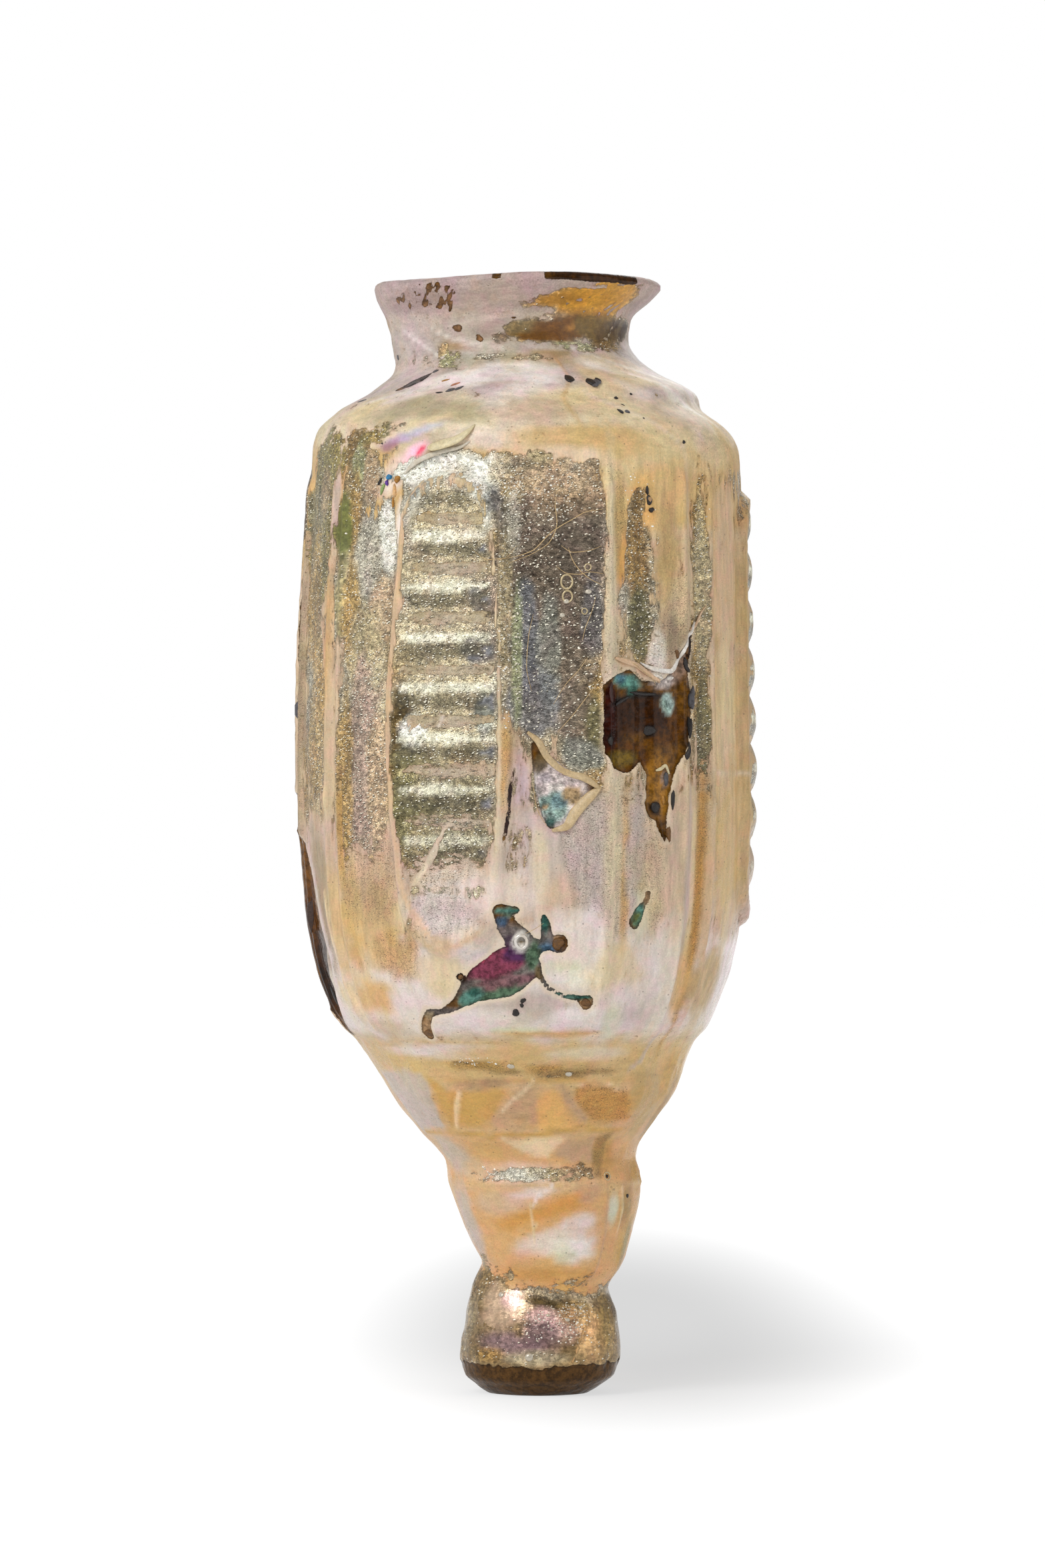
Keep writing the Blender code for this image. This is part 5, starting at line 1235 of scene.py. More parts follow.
def inner_ring(angle, z):
    """A ring of the inside: the plain profile moved in, square to itself, by the wall."""
    above = smooth_curve(PROFILE, z + SLOPE_STEP)
    below = smooth_curve(PROFILE, z - SLOPE_STEP)
    rise = (above - below) / (2 * SLOPE_STEP)
    wall = WALL + (STEM_WALL - WALL) * (1.0 - ease(z, RING_Z, SEAM_Z))
    length = np.hypot(1.0, rise)
    radius = (smooth_curve(PROFILE, z) - wall / length) * facet_factor(angle, z)
    return place(angle, radius, z + wall * rise / length, z)


def column_angles():
    """Angles of the mesh's columns, closer together on the front than behind."""
    front = np.linspace(-FRONT_HALF, FRONT_HALF, FRONT_COLUMNS, endpoint=False)
    back = np.linspace(FRONT_HALF, 360.0 - FRONT_HALF, BACK_COLUMNS, endpoint=False)
    return np.concatenate([front, back])


def outer_levels():
    """Heights of the outside's rings: evenly spaced along the profile, as closely as SPACING asks."""
    z = np.linspace(0.0, RIM_Z, PROFILE_SAMPLES)
    length = np.hypot(np.diff(z), np.diff(smooth_curve(PROFILE, z)))
    spacing = np.interp(0.5 * (z[1:] + z[:-1]), *np.array(SPACING).T)
    count = np.concatenate([[0.0], np.cumsum(length / spacing)])
    return np.interp(np.linspace(0.0, count[-1], int(round(count[-1])) + 1), count, z)


def lip_points(angle, relief):
    """The rounded lip, a half circle carried from the outside over to the inside, a little worn."""
    bead = LIP / 2
    turned = np.linspace(np.radians(LIP_START), np.pi, LIP_STEPS)[:, None]
    radius = RIM_R - bead + bead * np.cos(turned)
    dip = LIP_DIP * hump(turn(angle, LIP_DIP_AT), LIP_DIP_HALF)
    points = place(angle, radius, HEIGHT - bead + bead * np.sin(turned) - dip, RIM_Z)
    points[..., 2] -= relief.crust * (1.0 + noise(points, "lip")) * np.sin(turned)
    return points


def inner_points(angle):
    """The hollow from below the lip down to the well's rounded floor, all but its middle point."""
    steps = int((RIM_Z - WELL_ROUND_Z) / INNER_SPACING)
    levels = np.linspace(RIM_Z - 1.2, WELL_ROUND_Z, steps)[:, None]
    wall = inner_ring(angle, levels)
    floor_z = float(wall[-1, 0, 2])
    centre = float(smooth_curve(DRIFT, WELL_ROUND_Z))
    radius = float(np.hypot(wall[-1, 0, 0] - centre, wall[-1, 0, 1]))
    turned = 0.5 * np.pi * np.arange(1, WELL_STEPS + 1)[:, None] / (WELL_STEPS + 1)
    height = floor_z - (floor_z - WELL_Z) * np.sin(turned)
    well = place(angle, radius * np.cos(turned), height, WELL_ROUND_Z)
    return np.concatenate([wall, well]), np.array((centre, 0.0, WELL_Z))


def ring_faces(first, rows, columns, wrapped=False):
    """Quads between rings of the same columns, numbered ring by ring from first; the last ring meets
    the first one where they are wrapped."""
    row, column = np.meshgrid(np.arange(rows if wrapped else rows - 1), np.arange(columns), indexing="ij")
    here, above, following = row * columns, (row + 1) % rows * columns, (column + 1) % columns
    corners = [here + column, here + following, above + following, above + column]
    return (first + np.stack(corners, axis=-1).reshape(-1, 4)).tolist()


def fan_faces(ring, point, columns):
    """Triangles between a ring and a point in its middle."""
    column = np.arange(columns)
    return np.stack([ring + column, ring + (column + 1) % columns, np.full(columns, point)], 1).tolist()


def step_faces(coarse, fine, columns, share, fine_above):
    """Polygons between a ring of few columns and one of share times as many."""
    column = np.arange(columns)
    following = (column + 1) % columns
    strip = [(column * share + k) % (columns * share) for k in range(share + 1)]
    low = [coarse + column, coarse + following]
    high = [fine + k for k in strip]
    corners = low + high[::-1] if fine_above else high + low[::-1]
    return np.stack(corners, axis=-1).tolist()


def flask_mesh(relief):
    """The flask as one closed skin: up the outside, over the lip and down the hollow."""
    angle = column_angles()
    columns, few = len(angle), len(angle) // INNER_SHARE
    outside, weather = dressed(angle[None, :], outer_levels()[:, None], relief)
    lip = lip_points(angle, relief)
    hollow, well = inner_points(angle[::INNER_SHARE])
    base = outside[0, ::INNER_SHARE] * np.arange(1, BASE_RINGS)[:, None, None] / BASE_RINGS
    base[..., 2] = 0.0

    stacks = [np.zeros((1, 3)), base, outside, lip, hollow, well[None]]
    points = np.concatenate([stack.reshape(-1, 3) for stack in stacks])
    starts = np.cumsum([0] + [len(stack.reshape(-1, 3)) for stack in stacks])
    base_at, out_at, hollow_at, well_at = starts[1], starts[2], starts[4], starts[5]
    rows = len(outside) + len(lip)
    faces = fan_faces(base_at, 0, few) + ring_faces(base_at, len(base), few)
    faces += step_faces(out_at - few, out_at, few, INNER_SHARE, True)
    faces += ring_faces(out_at, rows, columns)
    faces += step_faces(hollow_at, hollow_at - columns, few, INNER_SHARE, False)
    faces += ring_faces(hollow_at, len(hollow), few) + fan_faces(well_at - few, well_at, few)

    mesh = bpy.data.meshes.new("weathered_flask")
    mesh.from_pydata(in_frame(points, 0.0), [], faces)
    store_paint(mesh, starts, weather, lip)
    mesh.shade_smooth()
    mesh.validate()
    return mesh


def store(mesh, name, values):
    """Write one attribute of a mesh: colours, or plain numbers."""
    kind, field = ("FLOAT_COLOR", "color") if values.ndim > 1 else ("FLOAT", "value")
    made = mesh.attributes.new(name, kind, "POINT")
    made.data.foreach_set(field, values.astype(np.float32).ravel())


def store_paint(mesh, starts, weather, lip):
    """Write the paint to the mesh's attributes, with plainer values for the lip, base and hollow."""
    count = len(mesh.vertices)
    outside, over = slice(starts[2], starts[3]), slice(starts[3], starts[4])
    hollow, below = slice(starts[4], starts[6]), slice(starts[0], starts[2])
    plain = {"veil_tint": (*linear("inside"), 0.9), "foil_tint": (*linear("dull_gold"), 0.2),
             "crust_finish": (0.1, 0.2, 0.1, 0.0), "bared_tint": (*linear("wear_brown"), 0.0)}
    for (name, value), paint in zip(plain.items(), weather.crust_paint() + (weather.bared_paint(),)):
        values = np.zeros((count, 4))
        values[outside] = paint.reshape(-1, 4)
        values[over] = np.broadcast_to(paint[-1], lip.shape[:2] + (4,)).reshape(-1, 4)
        values[hollow] = values[below] = value
        store(mesh, name, values)
    opening = np.full(count, CLOSED)
    opening[outside] = weather.opening.ravel()
    opening[over] = np.broadcast_to(weather.opening[-1], lip.shape[:2]).ravel()
    opening[below] = OPEN
    store(mesh, "opening", opening)


# ---- Small pieces that lie on the flask ------------------------------------

def on_glass(angle, z, lift, relief):
    """Points that stand off the weathered outside by lift."""
    angle, z = np.broadcast_arrays(angle, z)
    plain, radius = undressed(angle, z)
    radius = radius + Weather(angle, z, plain, relief).height + lift
    return place(angle, radius, z + lean(angle, z, radius), z)


def beside(angle, z, across, up):
    """Angle and height of the places that lie across and up from a point of the surface."""
    return angle + np.degrees(across / smooth_curve(PROFILE, z)), z + up


def lumps(shapes, relief, rows, columns, seed, unevenness=0.25):
    """Squashed balls on the surface: a circle of rings from the top to the underside, each ball as
    wide, high, raised and tilted as its row of shapes says, and dented by noise."""
    table = np.array(shapes, float)[..., None, None]
    angle, z, half_w, half_h, rise, tilt = np.moveaxis(table, 1, 0)
    polar = np.pi * (np.arange(rows) + 0.5)[:, None] / rows
    round_it = 2.0 * np.pi * np.arange(columns) / columns
    phase = np.random.default_rng(seed).uniform(0.0, 2.0 * np.pi, (len(angle), 3, 1, 1))
    dent = 1.0 + unevenness * (
        0.5 * np.sin(2.0 * round_it + phase[:, 0]) + 0.35 * np.sin(3.0 * round_it + phase[:, 1])
        + 0.25 * np.sin(5.0 * round_it + 3.0 * polar + phase[:, 2]))
    reach = np.sin(polar) ** 0.8 * dent
    u, v = half_w * reach * np.cos(round_it), half_h * reach * np.sin(round_it)
    cos, sin = np.cos(np.radians(tilt)), np.sin(np.radians(tilt))
    at_angle, at_z = beside(angle, z, u * cos - v * sin, u * sin + v * cos)
    lift = rise * np.cos(polar) * np.where(polar < 0.5 * np.pi, 1.0, 0.4) + 0.0 * u
    return on_glass(at_angle, at_z, lift, relief)


def along(points, steps):
    """A smooth curve through a table's points, one column of values each."""
    table = np.array(points, float)
    at = np.arange(len(table))
    fine = np.linspace(0, len(table) - 1, steps)
    return [smooth_curve(np.stack([at, column], axis=1), fine) for column in table.T]


def unit(vectors):
    """The vectors with a length of 1."""
    return vectors / np.linalg.norm(vectors, axis=1, keepdims=True)


def tube(middle, half_w, half_t, columns, twist=0.0, closed=False):
    """A flattened tube carried along a line of points on the flask: half as wide as half_w across the
    line, half as thick as half_t away from the surface, and turned by twist."""
    run = np.roll(middle, -1, 0) - np.roll(middle, 1, 0) if closed else np.gradient(middle, axis=0)
    run = unit(run)
    side = unit(np.cross(run, unit(middle * (1.0, 1.0, 0.0))))
    up = np.cross(side, run)
    cos, sin = np.cos(np.radians(twist)), np.sin(np.radians(twist))
    turned = 2.0 * np.pi * np.arange(columns)[None, :, None] / columns
    wide = half_w[:, None, None] * np.cos(turned)
    thick = half_t[:, None, None] * np.sin(turned)
    across, away = wide * cos - thick * sin, wide * sin + thick * cos
    return middle[:, None, :] + across * side[:, None, :] + away * up[:, None, :]


def skin(stacks, wrapped=False):
    """Vertices and faces of closed skins: each stack of rings gets a middle point at both ends, or is
    joined end to end where it is wrapped."""
    points, faces, first = [], [], 0
    for rings in stacks:
        rows, columns = rings.shape[:2]
        after = first + rows * columns
        points.append(rings.reshape(-1, 3))
        faces += ring_faces(first, rows, columns, wrapped)
        if not wrapped:
            points.append(np.stack([rings[0].mean(axis=0), rings[-1].mean(axis=0)]))
            faces += fan_faces(first, after, columns) + fan_faces(after - columns, after + 1, columns)
            after += 2
        first = after
    return np.concatenate(points), faces


def in_frame(points, inset):
    """Points in the frame's metres, kept inside the solid's box and above its floor by the inset."""
    return np.clip(points * UNIT + (0.0, 0.0, LOW[2]), LOW + (BOX_GAP, BOX_GAP, inset), HIGH - BOX_GAP)


def add_object(name, data):
    """A new object in the scene."""
    made = bpy.data.objects.new(name, data)
    bpy.context.scene.collection.objects.link(made)
    return made


def add_piece(name, stacks, tones, material, wrapped=False):
    """Make one object of many small closed skins, each with its own tone, riding on the flask."""
    points, faces = skin(stacks, wrapped)
    mesh = bpy.data.meshes.new(name)
    mesh.from_pydata(in_frame(points, BOX_GAP), [], faces)
    shell = bmesh.new()
    shell.from_mesh(mesh)
    bmesh.ops.recalc_face_normals(shell, faces=shell.faces)
    shell.to_mesh(mesh)
    shell.free()
    counts = [rings.shape[0] * rings.shape[1] + (0 if wrapped else 2) for rings in stacks]
    store(mesh, "tone", np.repeat([(*linear(tone), 1.0) for tone in tones], counts, axis=0))
    mesh.shade_smooth()
    mesh.materials.append(material)
    piece = add_object(name, mesh)
    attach(piece, BODY)


# ---- Constants of the materials and the stage ------------------------------

# How coarse the cells of the foil's beads are against its plates, the pearly tints from one end of
# the play of colour to the other, and the stains of the small pieces
BEAD_SHARE = 0.66
PEARL_TINTS = (
    (0.30, (1.10, 0.93, 0.98)), (0.44, (1.02, 0.99, 0.96)), (0.54, (0.94, 1.03, 0.93)),
    (0.68, (1.04, 0.98, 0.82)),
)
STAIN_TINT = (0.86, 0.78, 0.64, 1.0)
# Specular level of the crust and of the bared glass
CRUST_SPECULAR = 0.36
GLASS_SPECULAR = 0.07

# The camera's place, its tilt upwards, its sensor's width and the nearest and farthest that it sees
CAMERA_AT = np.array((-2.02, -801.0, 66.25)) * UNIT
CAMERA_PITCH = 0.743
SENSOR = 36.0
SIGHT = (0.01, 50.0)

# The floor: its corners, the middle of the soft shadow painted into its glow behind the glass and its
# reach across, forwards and backwards, where that painted shade fades, and how far from the foot the
# floor's own glow grows
FLOOR_CORNERS = 96
SHADE_AT = (12.0, 100.0)
SHADE_REACH = (48.0, 198.0)
SHADE_BACK = 330.0
SHADE_FADE = (0.25, 1.15)
GLOW_FADE = (0.10, 0.60)

# Softboxes: name, place, width and height, and which setting gives the power; and what they look at
LIGHTS = (
    ("key_light", (-0.50, -0.62, 0.72), (0.40, 0.50), "key_power"),
    ("fill_light", (0.85, -0.35, 0.30), (0.60, 0.80), "fill_power"),
    ("back_light", (0.25, 0.90, 0.55), (0.60, 0.60), "fill_power"),
)
LIGHT_AIM = np.array((0.0, 0.0, 75.0)) * UNIT


# ---- Shader building blocks ------------------------------------------------

def rgba(colour):
    """A colour with full alpha."""
    return (*colour, 1.0)


class Nodes:
    """Grows a node tree.  Each call adds a node, takes values or other nodes' outputs, and gives back
    an output."""

    def __init__(self, tree):
        self.tree = tree

    def fill(self, sockets, inputs):
        """Link or set input sockets, by name or number."""
        for key, value in inputs.items():
            if isinstance(value, bpy.types.NodeSocket):
                self.tree.links.new(value, sockets[key])
            else:
                sockets[key].default_value = value

    def put(self, kind, inputs=None, **settings):
        """Any shader node; gives back all its outputs."""
        node = self.tree.nodes.new("ShaderNode" + kind)
        for name, value in settings.items():
            setattr(node, name, value)
        self.fill(node.inputs, inputs or {})
        return node.outputs

    def calc(self, operation, *values, clamp=False):
        """A Math node's result."""
        return self.put("Math", dict(enumerate(values)), operation=operation, use_clamp=clamp)[0]

    def times(self, first, *others):
        """A product."""
        for other in others:
            first = self.calc("MULTIPLY", first, other)
        return first

    def plus(self, first, *others):
        """A sum."""
        for other in others:
            first = self.calc("ADD", first, other)
        return first

    def minus(self, a, b):
        """A difference."""
        return self.calc("SUBTRACT", a, b)

    def times_plus(self, a, b, c):
        """A product with something added."""
        return self.calc("MULTIPLY_ADD", a, b, c)

    def vector(self, operation, *values):
        """A Vector Math node's vector."""
        return self.put("VectorMath", dict(enumerate(values)), operation=operation)[0]

    def scaled(self, vector, factor):
        """A vector made longer by a factor."""
        return self.put("VectorMath", {0: vector, "Scale": factor}, operation="SCALE")[0]

    def length(self, vector):
        """A vector's length."""
        return self.put("VectorMath", {0: vector}, operation="LENGTH")["Value"]

    def parts(self, vector):
        """A vector's three parts."""
        return self.put("SeparateXYZ", {0: vector})

    def between(self, factor, a, b):
        """A number on the way from a to b."""
        return self.put("Mix", {0: factor, 2: a, 3: b}, data_type="FLOAT")[0]

    def blend(self, factor, a, b, mode="MIX"):
        """A colour on the way from a to b."""
        return self.put("Mix", {0: factor, 6: a, 7: b}, data_type="RGBA", blend_type=mode)[2]

    def tint(self, colour, by, factor=1.0):
        """A colour multiplied by another, by as much as the factor says."""
        return self.blend(factor, colour, by, "MULTIPLY")

    def grey(self, value):
        """A number as a grey colour."""
        return self.put("CombineColor", {0: value, 1: value, 2: value})[0]

    def smooth(self, value, start, end, low=0.0, high=1.0):
        """A value eased from low at start to high at end."""
        inputs = dict(enumerate((value, start, end, low, high)))
        return self.put("MapRange", inputs, interpolation_type="SMOOTHSTEP")[0]

    def cloud(self, vector, size, detail=2.0, roughness=0.5, squash=None):
        """A Noise texture's value: cells of the given size in the vector's own unit, flatter by
        squash where that is given."""
        if squash:
            vector = self.vector("MULTIPLY", vector, (1.0, 1.0, squash))
        return self.put("TexNoise", {"Vector": vector, "Scale": 1.0 / size, "Detail": detail,
                                     "Roughness": roughness})[0]

    def bump(self, reach, height):
        """A normal bumped by height, of which 1 is a reach in the tables' millimetres."""
        return self.put("Bump", {"Strength": 1.0, "Distance": reach * UNIT, "Height": height})[0]

    def millimetres(self):
        """The piece's own coordinates in the tables' millimetres."""
        return self.vector("MULTIPLY", self.put("TexCoord")["Object"], (1.0 / UNIT,) * 3)

    def attribute(self, name):
        """A mesh attribute's outputs."""
        return self.put("Attribute", attribute_name=name)

    def cells(self, vector, scale=1.0, feature="F1"):
        """A Voronoi texture's outputs."""
        return self.put("TexVoronoi", {"Vector": vector, "Scale": scale}, feature=feature)

    def group(self, tree, **inputs):
        """The outputs of a node group."""
        return self.put("Group", inputs, node_tree=tree)


def new_group(name, inputs, outputs):
    """An empty shader group.  A socket called Vector or Color is one, and the others are numbers.
    Gives back its nodes, its inputs and a function that fills its outputs."""
    tree = bpy.data.node_groups.new(name, "ShaderNodeTree")
    for way, sockets in (("INPUT", inputs), ("OUTPUT", outputs)):
        for socket in sockets:
            kind = socket if socket in ("Vector", "Color") else "Float"
            tree.interface.new_socket(socket, in_out=way, socket_type="NodeSocket" + kind)
    net = Nodes(tree)
    given, gives = tree.nodes.new("NodeGroupInput").outputs, tree.nodes.new("NodeGroupOutput").inputs
    return net, given, lambda **values: net.fill(gives, values)


def cell_space(net, given):
    """A group's vector counted in cells, squashed in height by its Flatten."""
    squash = net.put("CombineXYZ", {0: 1.0, 1: 1.0, 2: given["Flatten"]})[0]
    flat = net.vector("MULTIPLY", given["Vector"], squash)
    return net.scaled(flat, net.calc("DIVIDE", 1.0, given["Cell"]))


def foil_group():
    """Blistered foil: plates with creases between them, and beads on some of them.  The bead highlight
    output is a painted highlight on each bead's upper side, the shade output a painted shade on its
    lower side, and the crease output marks where a painted shade falls in the creases.  Density is the
    share of beads; Flatten squashes the cells in height, so that they lie across."""
    net, given, give = new_group("Blistered foil", ("Vector", "Cell", "Flatten", "Density"),
                                 ("Height", "Crease", "Bead", "Shade", "Facet"))
    scaled = cell_space(net, given)
    warp = net.put("TexNoise", {"Vector": scaled, "Scale": 0.5, "Detail": 2.0})[1]
    bent = net.vector("MULTIPLY_ADD", warp, (1.6, 1.6, 1.6), scaled)
    edges = net.cells(bent, feature="DISTANCE_TO_EDGE")["Distance"]
    cells = net.cells(bent, BEAD_SHARE)
    rise = net.parts(net.vector("SUBTRACT", bent, cells["Position"]))
    luck = net.put("SeparateColor", {0: cells["Color"]})
    clump = net.smooth(net.cloud(scaled, 4.0, 3.0), 0.35, 0.65, 0.4, 1.5)
    present = net.calc("LESS_THAN", luck[0], net.times(given["Density"], clump))
    off = net.calc("DIVIDE", cells["Distance"], net.times_plus(luck[1], 0.26, 0.24))
    dome = net.calc("SUBTRACT", 1.0, net.times(off, off), clamp=True)
    upper = net.times_plus(rise[0], -0.5, rise[2])
    # Painted highlight on each bead's upper side and painted shade on its lower side
    lit = net.times(present, net.smooth(upper, -0.10, 0.16))
    dim = net.times(present, net.smooth(upper, -0.02, -0.22))
    plate = net.times(net.smooth(edges, 0.0, 0.30), 0.30)
    give(Bead=net.times(net.smooth(dome, 0.0, 0.5), lit),
         Shade=net.times(net.smooth(dome, 0.0, 0.4), dim),
         Facet=luck[2], Crease=net.smooth(edges, 0.10, 0.02),
         Height=net.times_plus(net.times(dome, present), net.times_plus(luck[1], 0.7, 0.6), plate))
    return net.tree


def pits_group():
    """Small dark pits: the middles of those cells whose random number is below Amount."""
    net, given, give = new_group("Crust pits", ("Vector", "Cell", "Flatten", "Amount"), ("Pit",))
    scaled = cell_space(net, given)
    cells = net.cells(scaled)
    luck = net.put("SeparateColor", {0: cells["Color"]})
    limit = net.times(given["Amount"], net.smooth(net.cloud(scaled, 6.0, 1.0), 0.35, 0.65, 0.15, 1.0))
    give(Pit=net.times(net.calc("LESS_THAN", luck[2], limit), net.smooth(cells["Distance"], 0.34, 0.16)))
    return net.tree


def ragged_group():
    """A mask that is 1 where a distance, frayed by fine noise, is above 0."""
    net, given, give = new_group("Ragged edge", ("Vector", "Distance", "Fray"), ("Mask", "Frayed"))
    fine = net.minus(net.cloud(given["Vector"], 0.30, 3.0, 0.6), 0.5)
    frayed = net.times_plus(fine, given["Fray"], given["Distance"])
    give(Mask=net.smooth(frayed, -0.03, 0.05), Frayed=frayed)
    return net.tree


def pearl_group():
    """Pearly play of colour: a tint that wanders from rose over cream to green and gold."""
    net, given, give = new_group("Pearl tints", ("Vector", "Color", "Amount"), ("Color",))
    tint = net.put("ValToRGB", {0: net.cloud(given["Vector"], 2.4, 3.0, 0.6)})[0]
    stops = tint.node.color_ramp.elements
    while len(stops) < len(PEARL_TINTS):
        stops.new(1.0)
    for stop, (at, colour) in zip(stops, PEARL_TINTS):
        stop.position, stop.color = at, rgba(colour)
    give(Color=net.tint(given["Color"], tint, given["Amount"]))
    return net.tree


# ---- Materials -------------------------------------------------------------

def new_material(name):
    """A material with only its Principled shader; gives back its nodes and that shader's inputs."""
    material = bpy.data.materials.new(name)
    material.use_nodes = True
    return material, Nodes(material.node_tree), material.node_tree.nodes["Principled BSDF"].inputs


class FlaskSurface:
    """The flask's surface as nodes: a pale veil over blistered foil over the glass, with losses."""

    def __init__(self, net, colours):
        self.net, self.colours = net, colours
        self.spot = spot = net.millimetres()
        self.veil, self.foil, self.finish, self.bared, opening = (net.attribute(name) for name in (
            "veil_tint", "foil_tint", "crust_finish", "bared_tint", "opening"))
        self.beads, self.pitting, self.gloss = net.put("SeparateColor", {0: self.finish["Color"]})
        self.blisters = net.group(foil_group(), Vector=spot, Cell=0.30, Flatten=1.35,
                                  Density=net.times(self.beads, 0.90))
        pits = pits_group()
        self.flecks = net.group(pits, Vector=spot, Cell=0.36, Flatten=2.6,
                                Amount=net.smooth(self.pitting, 0.15, 1.0, 0.0, 0.8))["Pit"]
        self.pinholes = net.group(pits, Vector=spot, Cell=0.42, Flatten=1.0, Amount=0.07)["Pit"]
        self.pearl = pearl_group()
        self.edge = net.group(ragged_group(), Vector=spot, Distance=opening["Fac"], Fray=0.30)
        self.bare = net.smooth(opening["Fac"], -0.03, 0.05)
        self.pearly = net.smooth(self.gloss, 0.50, 0.72)
        level = net.parts(spot)[2]
        self.off_body = net.plus(net.smooth(level, 115.0, 119.0), net.smooth(level, 50.0, 45.0))
        self.drawn = net.between(self.off_body, net.cloud(spot, 0.8, 5.0, 0.66, 0.16),
                                 net.cloud(spot, 2.0, 7.0, 0.72, 2.6))
        self.cover = self.veil_cover()
        self.covered = net.smooth(self.cover, 0.40, 0.60)

    def pearled(self, colour, amount):
        """A colour under the pearly play of colour."""
        return self.net.group(self.pearl, Vector=self.spot, Color=colour, Amount=amount)["Color"]

    def veil_cover(self):
        """How far the veil covers the foil: streaked upright on the body and swirled above and below
        it, and torn across where the crust is pitted."""
        net, spot = self.net, self.spot
        upright = net.cloud(spot, 1.0, 8.0, 0.66, 0.30)
        across = net.cloud(spot, 1.3, 6.0, 0.66, 2.6)
        swirled = net.cloud(spot, 1.6, 8.0, 0.66, 1.7)
        fine = net.between(net.smooth(self.pitting, 0.4, 0.8), net.between(self.off_body, upright, swirled),
                           across)
        return net.times_plus(net.minus(fine, 0.5), 2.2, self.veil["Alpha"])

    def veil_colour(self):
        """Streaks, dust, pinholes and a painted shade in the creases between the scales, then warm and cool
        places, flecks and the hem.
        """
        net, spot, colours = self.net, self.spot, self.colours
        streaks = net.between(net.smooth(self.drawn, 0.30, 0.70), net.between(self.pearly, 0.80, 0.90),
                              net.between(self.pearly, 1.12, 1.08))
        dust = net.between(net.smooth(net.cloud(spot, 0.24, 3.0, 0.7), 0.32, 0.68),
                           net.smooth(self.gloss, 0.1, 0.6, 0.80, 0.93), 1.08)
        holes = net.times_plus(self.pinholes, -0.45, 1.0)
        # Painted shade in the creases between the scales
        scales = net.times(self.blisters["Crease"], net.smooth(self.pitting, 0.2, 0.8, 0.02, 0.40))
        mottle = net.times(streaks, dust, holes, net.minus(1.06, scales))
        wander = net.smooth(net.cloud(spot, 6.0, 3.0, 0.6, 0.5), 0.35, 0.65)
        warm = net.blend(wander, rgba(colours.veil_cool), rgba(colours.veil_warm))
        pale = self.pearled(net.tint(net.tint(self.veil["Color"], net.grey(mottle)), warm), 0.6)
        pale = net.blend(net.times(self.flecks, 0.75), pale, rgba(colours.pit))
        hem = net.times(net.smooth(self.cover, 0.56, 0.80, 1.0, 0.0), 0.30)
        return net.tint(pale, rgba(colours.hem), hem)

    def foil_colour(self):
        """Grime, smoke, dashes and facets, then a painted shade in the creases, and painted highlights on
        the beads' upper sides with painted shade below.
        """
        net, spot, beads, colours = self.net, self.spot, self.beads, self.colours
        gap = rgba(colours.gap_shade)
        grime = net.smooth(net.cloud(spot, 0.8, 8.0, 0.75), 0.36, 0.62, 0.66, 1.24)
        smoke = net.smooth(net.cloud(spot, 3.6, 4.0, 0.6, 0.45), 0.36, 0.62, 0.78, 1.12)
        dashes = net.smooth(net.cloud(spot, 0.75, 4.0, 0.65, 3.0), 0.38, 0.58, 0.72, 1.14)
        facet = net.smooth(self.blisters["Facet"], 0.0, 1.0, 0.70, 1.38)
        shades = net.times(grime, smoke, dashes, facet)
        shades = net.between(net.smooth(beads, 0.0, 0.25, 0.40, 1.0), 1.0, shades)
        shades = net.between(net.smooth(beads, 0.8, 1.0), shades, facet)
        metal = net.tint(self.pearled(self.foil["Color"], 0.35), net.grey(shades))
        crease = net.minus(net.smooth(beads, 0.2, 0.85, 0.1, 0.9), net.smooth(beads, 0.88, 1.0, 0.0, 0.45))
        # Painted shade in the creases and on the beads' lower sides
        metal = net.tint(metal, gap, net.times(self.blisters["Crease"], crease))
        metal = net.tint(metal, gap, net.times(self.blisters["Shade"], 0.9))
        # Painted highlight on the beads' upper sides
        metal = net.blend(net.times(self.blisters["Bead"], 0.95), metal, rgba(colours.glint))
        return net.blend(net.times(self.flecks, 0.7), metal, rgba(colours.pit))

    def bared_colour(self):
        """The stained glass or its film in the losses, darker along their edge as a painted shadow of the
        crust's broken edge.
        """
        net = self.net
        stain = net.smooth(net.cloud(self.spot, 0.8, 5.0, 0.7), 0.34, 0.66, 0.45, 1.35)
        film = self.pearled(net.tint(self.bared["Color"], net.grey(stain)), self.bared["Alpha"])
        # Painted shadow along the edge of the loss
        return net.tint(film, net.grey(net.smooth(self.edge["Frayed"], 0.0, 0.35, 0.45, 1.0)))

    def colour(self):
        """The veil over the foil, the pale edge of the losses, and what they lay bare."""
        net = self.net
        crust = net.blend(self.covered, self.foil_colour(), self.veil_colour())
        rim = net.times(net.smooth(self.edge["Frayed"], -0.75, -0.10), self.finish["Alpha"])
        crust = net.blend(rim, crust, rgba(self.colours.pale_edge))
        return net.blend(self.edge["Mask"], crust, self.bared_colour())

    def metallic(self):
        """The foil's sheen, less where the beads' painted highlights are, and the film's."""
        net = self.net
        sheen = net.times(self.foil["Alpha"], net.times_plus(self.blisters["Bead"], -0.85, 1.0))
        return net.between(self.edge["Mask"], net.between(self.covered, sheen, 0.0),
                           net.times(self.bared["Alpha"], 0.7))

    def roughness(self):
        """Smoother with the foil's sheen and the veil's gloss, uneven, and smooth where bared."""
        net = self.net
        rough = net.between(self.covered, net.smooth(self.foil["Alpha"], 0.0, 1.0, 0.40, 0.22),
                            net.smooth(self.gloss, 0.0, 1.0, 0.62, 0.22))
        uneven = net.times_plus(net.cloud(self.spot, 0.7, 3.0), 0.20, -0.10)
        return net.between(self.edge["Mask"], net.plus(rough, uneven), 0.14)

